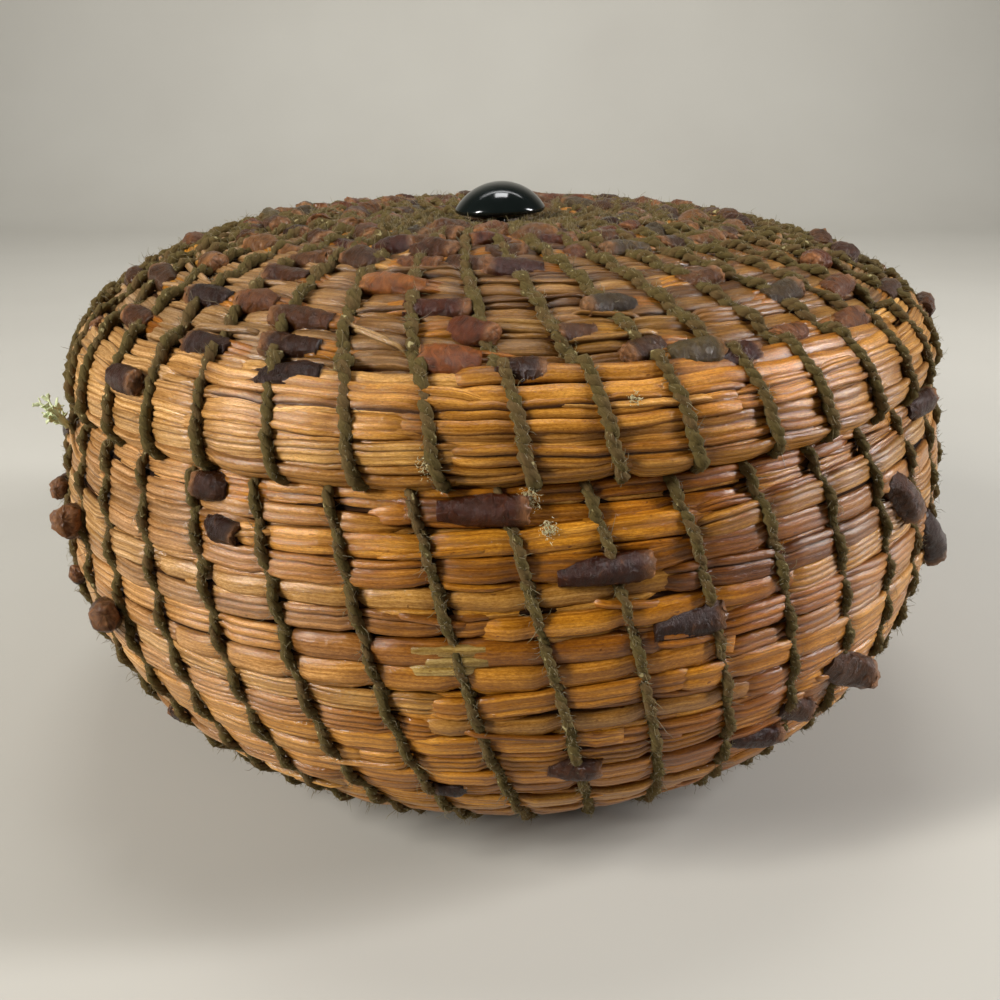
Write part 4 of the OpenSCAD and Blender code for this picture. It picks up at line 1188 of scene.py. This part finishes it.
half = KNOB_D / 2 - KNOB_EDGE
up_r, down_r = cap_radius(half, knob_high - KNOB_EDGE), cap_radius(half, knob_low - KNOB_EDGE)
up_end, down_end = math.asin(half / up_r), math.asin(half / down_r)
middle_z = knob_z + knob_low
top_r, low_r = up_r + KNOB_EDGE, down_r + KNOB_EDGE
profile = [(top_r * math.sin(a), middle_z + knob_high - top_r * (1 - math.cos(a)))
           for a in np.linspace(0.02, up_end, 20)]
profile += [(half + KNOB_EDGE * math.sin(a), middle_z + KNOB_EDGE * math.cos(a))
            for a in np.linspace(up_end, math.pi - down_end, 10)[1:-1]]
profile += [(low_r * math.sin(a), middle_z - knob_low + low_r * (1 - math.cos(a)))
            for a in np.linspace(down_end, 0.02, 14)]
piece = gather()
revolve(piece, profile, 64, tilt=0.035)
make_piece(piece, "glass_button", "lid", black_glass, ["knob"], leaned=False)

piece = gather()
revolve(piece, [(0.8, knob_z + 0.3), (0.95, knob_z - 0.1), (0.95, knob_z - 1.4),
                (0.7, knob_z - 1.6)], 24)
make_piece(piece, "button_shank", "lid", black_glass, ["knob_shank"], leaned=False)

def wound_knot(into, centre, radius, flatness, turns, body, wire=0.4):
    """A ball of thread, wound round in turns that lean a little more each time."""
    u = np.linspace(0, 2 * math.pi * turns, int(28 * turns))
    lean_by = u / turns * 0.5 + 0.7 * np.sin(u / 3.1)
    x, y, z = np.cos(u) * np.cos(lean_by), np.sin(u), np.cos(u) * np.sin(lean_by)
    path = centre + (radius - wire * 0.7) * np.stack([x, y, z * flatness], -1)
    thread(into, path, unit(path - centre), body, radius=wire, spread=wire * 0.7)

piece = gather()
tie_low = eye_z - lid_corner - SEAT_GAP
knot_middle = np.array([0, 0, tie_low - KNOT_D / 2])
for k in range(TIE_PLIES):
    a = 2 * math.pi * k / TIE_PLIES
    z = np.linspace(knob_z - 1.3, knot_middle[2] + 0.4, 24)
    thread(piece, around(0.36, a + z * 0.5, z), np.tile([math.cos(a), math.sin(a), 0.01], (24, 1)),
           "lid", radius=0.3, spread=0.2)
wound_knot(piece, knot_middle, KNOT_D / 2, 0.95, 9, "lid")
make_piece(piece, "button_tie", "lid", olive_thread, ["knob_tie"])

piece = gather()
for k, height in enumerate(np.arange(0.55, 2.9, 0.62)):
    a = np.linspace(0, 2 * math.pi, 30)
    ring = around(0.78, a + k, height + 0.25 * a / 6.3)
    thread(piece, ring, unit(ring * (1, 1, 0)), "base", radius=0.34, spread=0.2, fuzz=0.4)
wound_knot(piece, np.array([0, 0, 2.3]), 1.0, 0.8, 4, "base", wire=0.32)
make_piece(piece, "floor_knot", "base", olive_thread, ["floor_start"])

# %% [markdown]
# ## Small finds
# A pale green sprig of lichen is caught under the lid on the left. It came in with the
# needles and dried: matte, curled and branched, with a grain of about 0.6 mm. Each branch
# is a flattened, wavy strap whose tip is split and turned up.

# %% Lichen sprig
def lichen_surface(tree):
    grain = noise(tree, place_on_object(tree), 1600.0, Detail=4.0)
    return {"Base Color": blend(tree, grain, "#a3ae78", "#e2e6c0"), "Roughness": 0.8,
            "Normal": bump(tree, grain, 0.6, 0.0002), "IOR": 1.4}

dry_lichen = make_material("dry_lichen", lichen_surface)

def lichen_branch(into, start, way, length, width, depth=0):
    u = np.linspace(0, 1, 9)
    curl = unit(rng.normal(0, 1, 3))
    path = start + way * (length * u)[:, None] + curl * (0.3 * length * np.sin(2.4 * u) * u)[:, None]
    up = unit(np.cross(way, curl) + 0.2 * curl)
    sweep(into, path, np.tile(up, (9, 1)), ring_section(width, width * 0.36, 10),
          wide=0.7 + 0.5 * np.sin(9 * u + rng.uniform(0, 6)) * 0.4 + 0.4 * u, key=rng.uniform(0, 50))
    if depth < 2:
        for _ in range(2):
            lichen_branch(into, path[-2], unit(way + rng.normal(0, 0.55, 3)), length * 0.62,
                          width * 0.8, depth + 1)

piece = gather()
SPRIG_ANGLE = 207
point, normal = on_outline(base_line, base_line["whole"] - 2.4, SPRIG_ANGLE, 3.4)
ahead = np.array([-math.sin(math.radians(SPRIG_ANGLE)), math.cos(math.radians(SPRIG_ANGLE)), 0])
for _ in range(9):
    way = unit(normal * rng.uniform(0.1, 0.8) - ahead * rng.uniform(-0.6, 1.0)
               + np.array([0, 0, rng.uniform(0.0, 1.3)]))
    lichen_branch(piece, point + ahead * rng.uniform(-1.2, 1.2), way, rng.uniform(1.4, 2.3), 0.75)
make_piece(piece, "lichen_sprig_branches", "base", dry_lichen, ["lichen_sprig"])

# %% [markdown]
# ## Loose fibres
# Spun thread sheds fibres, dry, matte and a little lighter than the thread. On the real
# lid they make a dull olive haze over the sheaths. Every fibre is a three-sided, curved
# hair that grows from a kept point. It is 0.07 mm thick, coarser than life, so that it
# still shows.

# %% Material and mesh of the loose fibres
def hair_surface(tree, dark, light, **more):
    hairs = noise(tree, mesh_lie(tree), 0.7, Detail=1.0)
    return {"Base Color": blend(tree, hairs, dark, light), **more}

def fibre_surface(tree):
    return hair_surface(tree, "#463a1c", "#8d7c4a", Roughness=0.7, IOR=1.45, **{"Sheen Weight": 0.2})

loose_fibre = make_material("loose_thread_fibre", fibre_surface)

# A piece of more hairs than this would pass 200,000 faces.
MOST_HAIRS = 13000

def grow_fibres(roots, name, body, material, thin=0.033, longer=1.0):
    """A row of roots holds a point, a direction out and a direction along the thread."""
    count = len(roots)
    start, up, ahead = roots[:, :3], roots[:, 3:6], roots[:, 6:]
    way = unit(up * rng.uniform(0.1, 0.9, (count, 1)) + ahead * rng.normal(0, 0.9, (count, 1))
               + rng.normal(0, 0.4, (count, 3)))
    curl = unit(rng.normal(0, 1, (count, 3)))
    length = (rng.gamma(1.6, 0.24, (count, 1)) + 0.12) * longer
    u = np.linspace(0, 1, 3)
    path = (start[:, None] + way[:, None] * (length * u)[..., None]
            + curl[:, None] * (length * 0.5 * np.sin(2.2 * u) ** 2)[..., None])
    side = unit(np.cross(way, curl))
    other = np.cross(way, side)
    a = np.array([0, 2.1, 4.2])
    ring = side[:, None] * np.cos(a)[None, :, None] + other[:, None] * np.sin(a)[None, :, None]
    size = thin * np.array([1, 0.9, 0.4])
    points = path[:, :, None] + ring[:, None] * size[None, :, None, None]
    index = np.arange(count * 9).reshape(count, 3, 3)
    after = np.roll(index, -1, axis=2)
    quads = np.stack([index[:, :-1], after[:, :-1], after[:, 1:], index[:, 1:]], -1).reshape(-1, 4)
    caps = np.concatenate([index[:, 0][:, ::-1], index[:, -1]])
    into = gather()
    into["points"], into["quads"], into["tris"] = [points.reshape(-1, 3)], [quads], [caps]
    into["tint"] = [np.ones((count * 9, 3))]
    into["lie"] = [np.repeat(rng.uniform(0, 50, (count, 3)), 9, axis=0)]
    make_piece(into, name, body, material)

for body in ("base", "lid"):
    roots = np.concatenate(FUZZ[body])
    for k, part in enumerate(np.array_split(roots, math.ceil(len(roots) / MOST_HAIRS))):
        grow_fibres(part, f"{body}_loose_fibres_{k + 1}", body, loose_fibre)

# %% [markdown]
# ## Stray needles, fluff and frayed ends
# Here and there a single needle has slipped out of its bundle and crosses its neighbours
# at a slant. One cluster on the front is bleached by age. Pale fluff of seed hairs and a
# frayed end of thread, dry and dull, hang in the stitches of the front.

# %% Stray needles
def stray(into, line, s, angle, length, across, out, width, tone):
    """A needle that crosses its neighbours by `across` mm over its length."""
    u = np.linspace(-0.5, 0.5, 13)
    sunk = 1.3 * (1 - smooth((0.5 - np.abs(u)) / 0.12))
    turned = angle + np.degrees(length * u / float(radius_at(line, s)))
    path, up = on_outline(line, s + across * u, turned, out - sunk)
    section, light = cluster_section(width, 0.8, 1)
    # The tint takes the painted flank sheen and front shade, and the painted shade of the grooves.
    tint = flank_sheen_and_front_shade(linear(tone), path)[:, None] * light[:, None]
    sweep(into, path, up, section, tint, wide=1 - 0.3 * u * u, key=rng.uniform(0, 50))

def stray_needles(into, spiral, first, last, count, out, tones):
    for _ in range(count):
        t = rng.uniform(first, last)
        stray(into, spiral["line"], float(middle(spiral, t)), rng.uniform(0, 360), rng.uniform(7, 14),
              rng.choice([-1, 1]) * rng.uniform(0.6, 1.6), out + rng.uniform(-0.15, 0.1),
              rng.uniform(0.5, 0.9), rng.choice(tones))

piece = gather()
stray_needles(piece, base_spiral, 9.5, base_spiral["tip"] - 1, 70, 2.3, STRAW)
for down, angle, length, tone in ((15.2, -4.6, 10.0, "#a2864a"), (16.3, -3.8, 8.0, "#957c44"),
                                  (17.2, -5.2, 7.0, "#a68a4a")):
    stray(piece, base_line, base_line["whole"] - down, FRONT + angle, length, 0.4, 2.25, 1.3, tone)
make_piece(piece, "stray_wall_needles", "base", pine_needle)
piece = gather()
stray_needles(piece, lid_spiral, 7.5, lid_spiral["tip"] - 1, 24, 2.0, PALE)
for s, angle in ((14.2, -15.5), (13.4, -13.8)):
    stray(piece, lid_line, lid_line["whole"] - s, FRONT + angle, 6.5, 2.4, 2.0, 0.5, "#a38050")
make_piece(piece, "stray_lid_needles", "lid", pine_needle)

# %% Fluff and frayed ends
def fluff_surface(tree):
    return hair_surface(tree, "#a3945f", "#e4dab0", Roughness=0.8)

def tuft(line, s, angle, out, count, spread):
    """Roots of a tuft of fibres, close together."""
    point, normal = on_outline(line, s + rng.normal(0, spread, count),
                               angle + rng.normal(0, spread, count), out)
    ahead = np.cross(normal, rng.normal(0, 1, (count, 3)))
    return np.concatenate([point, normal, unit(ahead)], axis=1)

fluff = make_material("pale_fluff", fluff_surface)
whole = base_line["whole"]
roots = np.concatenate([tuft(base_line, whole - 1.0, FRONT + 2.6, 2.6, 300, 0.45),
                        tuft(base_line, whole - 3.8, FRONT + 4.4, 2.6, 220, 0.35)])
grow_fibres(roots, "pale_fluff_in_the_stitches", "base", fluff, thin=0.045, longer=0.32)
whole = lid_line["whole"]
roots = np.concatenate([tuft(lid_line, whole - 2.6, FRONT - 6.4, 3.2, 200, 0.45),
                        tuft(lid_line, whole - 6.4, FRONT + 12.6, 3.1, 50, 0.25)])
grow_fibres(roots, "frayed_ends_on_the_rim", "lid", fluff, thin=0.045, longer=0.45)

# %% [markdown]
# ## Stage and light
# A pale, plain floor of matte paper curves up into a backdrop. It carries only a faint
# mottle, about 10 cm wide. Daylight comes from a soft box overhead and from two windows,
# left and right, whose reflections give the varnish its highlights on both flanks. The
# side towards the camera gets little light of its own.

# %% Floor and backdrop
def stage_surface(tree):
    mottle = noise(tree, place_on_object(tree), 9.0, Detail=3.0)
    return {"Base Color": blend(tree, mottle, "#a9a59b", "#b4b1a7"), "Roughness": 0.75}

def make_stage():
    reach, back, curve, top = 1.6, 0.55, 0.2, 1.2
    profile = [(-0.22, 0)]
    profile += [(back + curve * math.sin(a), curve - curve * math.cos(a))
                for a in np.linspace(0, math.pi / 2, 13)]
    profile += [(back + curve, top)]
    n = len(profile)
    mesh = bpy.data.meshes.new("studio_floor")
    mesh.from_pydata([(x, y, z) for x in (-reach, reach) for y, z in profile], [],
                     [(k, n + k, n + k + 1, k + 1) for k in range(n - 1)])
    mesh.polygons.foreach_set("use_smooth", [True] * len(mesh.polygons))
    mesh.materials.append(make_material("pale_backdrop", stage_surface))
    floor = link("studio_floor", mesh)
    print("floor", 2 * reach, "m wide")

make_stage()

# %% Lamps and room
def softbox(name, place, aim, size, watts, hex_colour):
    data = bpy.data.lights.new(name, "AREA")
    data.shape, data.size, data.size_y = "RECTANGLE", *size
    data.energy, data.color = watts, linear(hex_colour)
    lamp = link(name, data)
    lamp.location = place
    lamp.rotation_euler = (Vector(aim) - Vector(place)).to_track_quat("-Z", "Y").to_euler()

softbox("overhead", (0.0, 0.14, 0.8), (0, 0, 0), (0.24, 0.16), 1.36, "#ffffff")
softbox("window_left", (-0.5, -0.26, 0.34), (0, 0, 0.03), (0.07, 0.34), 5.5, "#fffdfb")
softbox("window_right", (0.54, -0.04, 0.3), (0, 0, 0.03), (0.06, 0.34), 4.3, "#fbfbff")
softbox("backdrop_light", (0.0, 0.22, 0.62), (0, 0.75, 0.3), (0.6, 0.2), 2.6, "#ffffff")
world = bpy.data.worlds.new("room")
world.use_nodes = True
world.node_tree.nodes["Background"].inputs["Color"].default_value = rgba("#e2e4e6")
world.node_tree.nodes["Background"].inputs["Strength"].default_value = 0.1
bpy.context.scene.world = world
bpy.context.scene.view_settings.view_transform = "Standard"
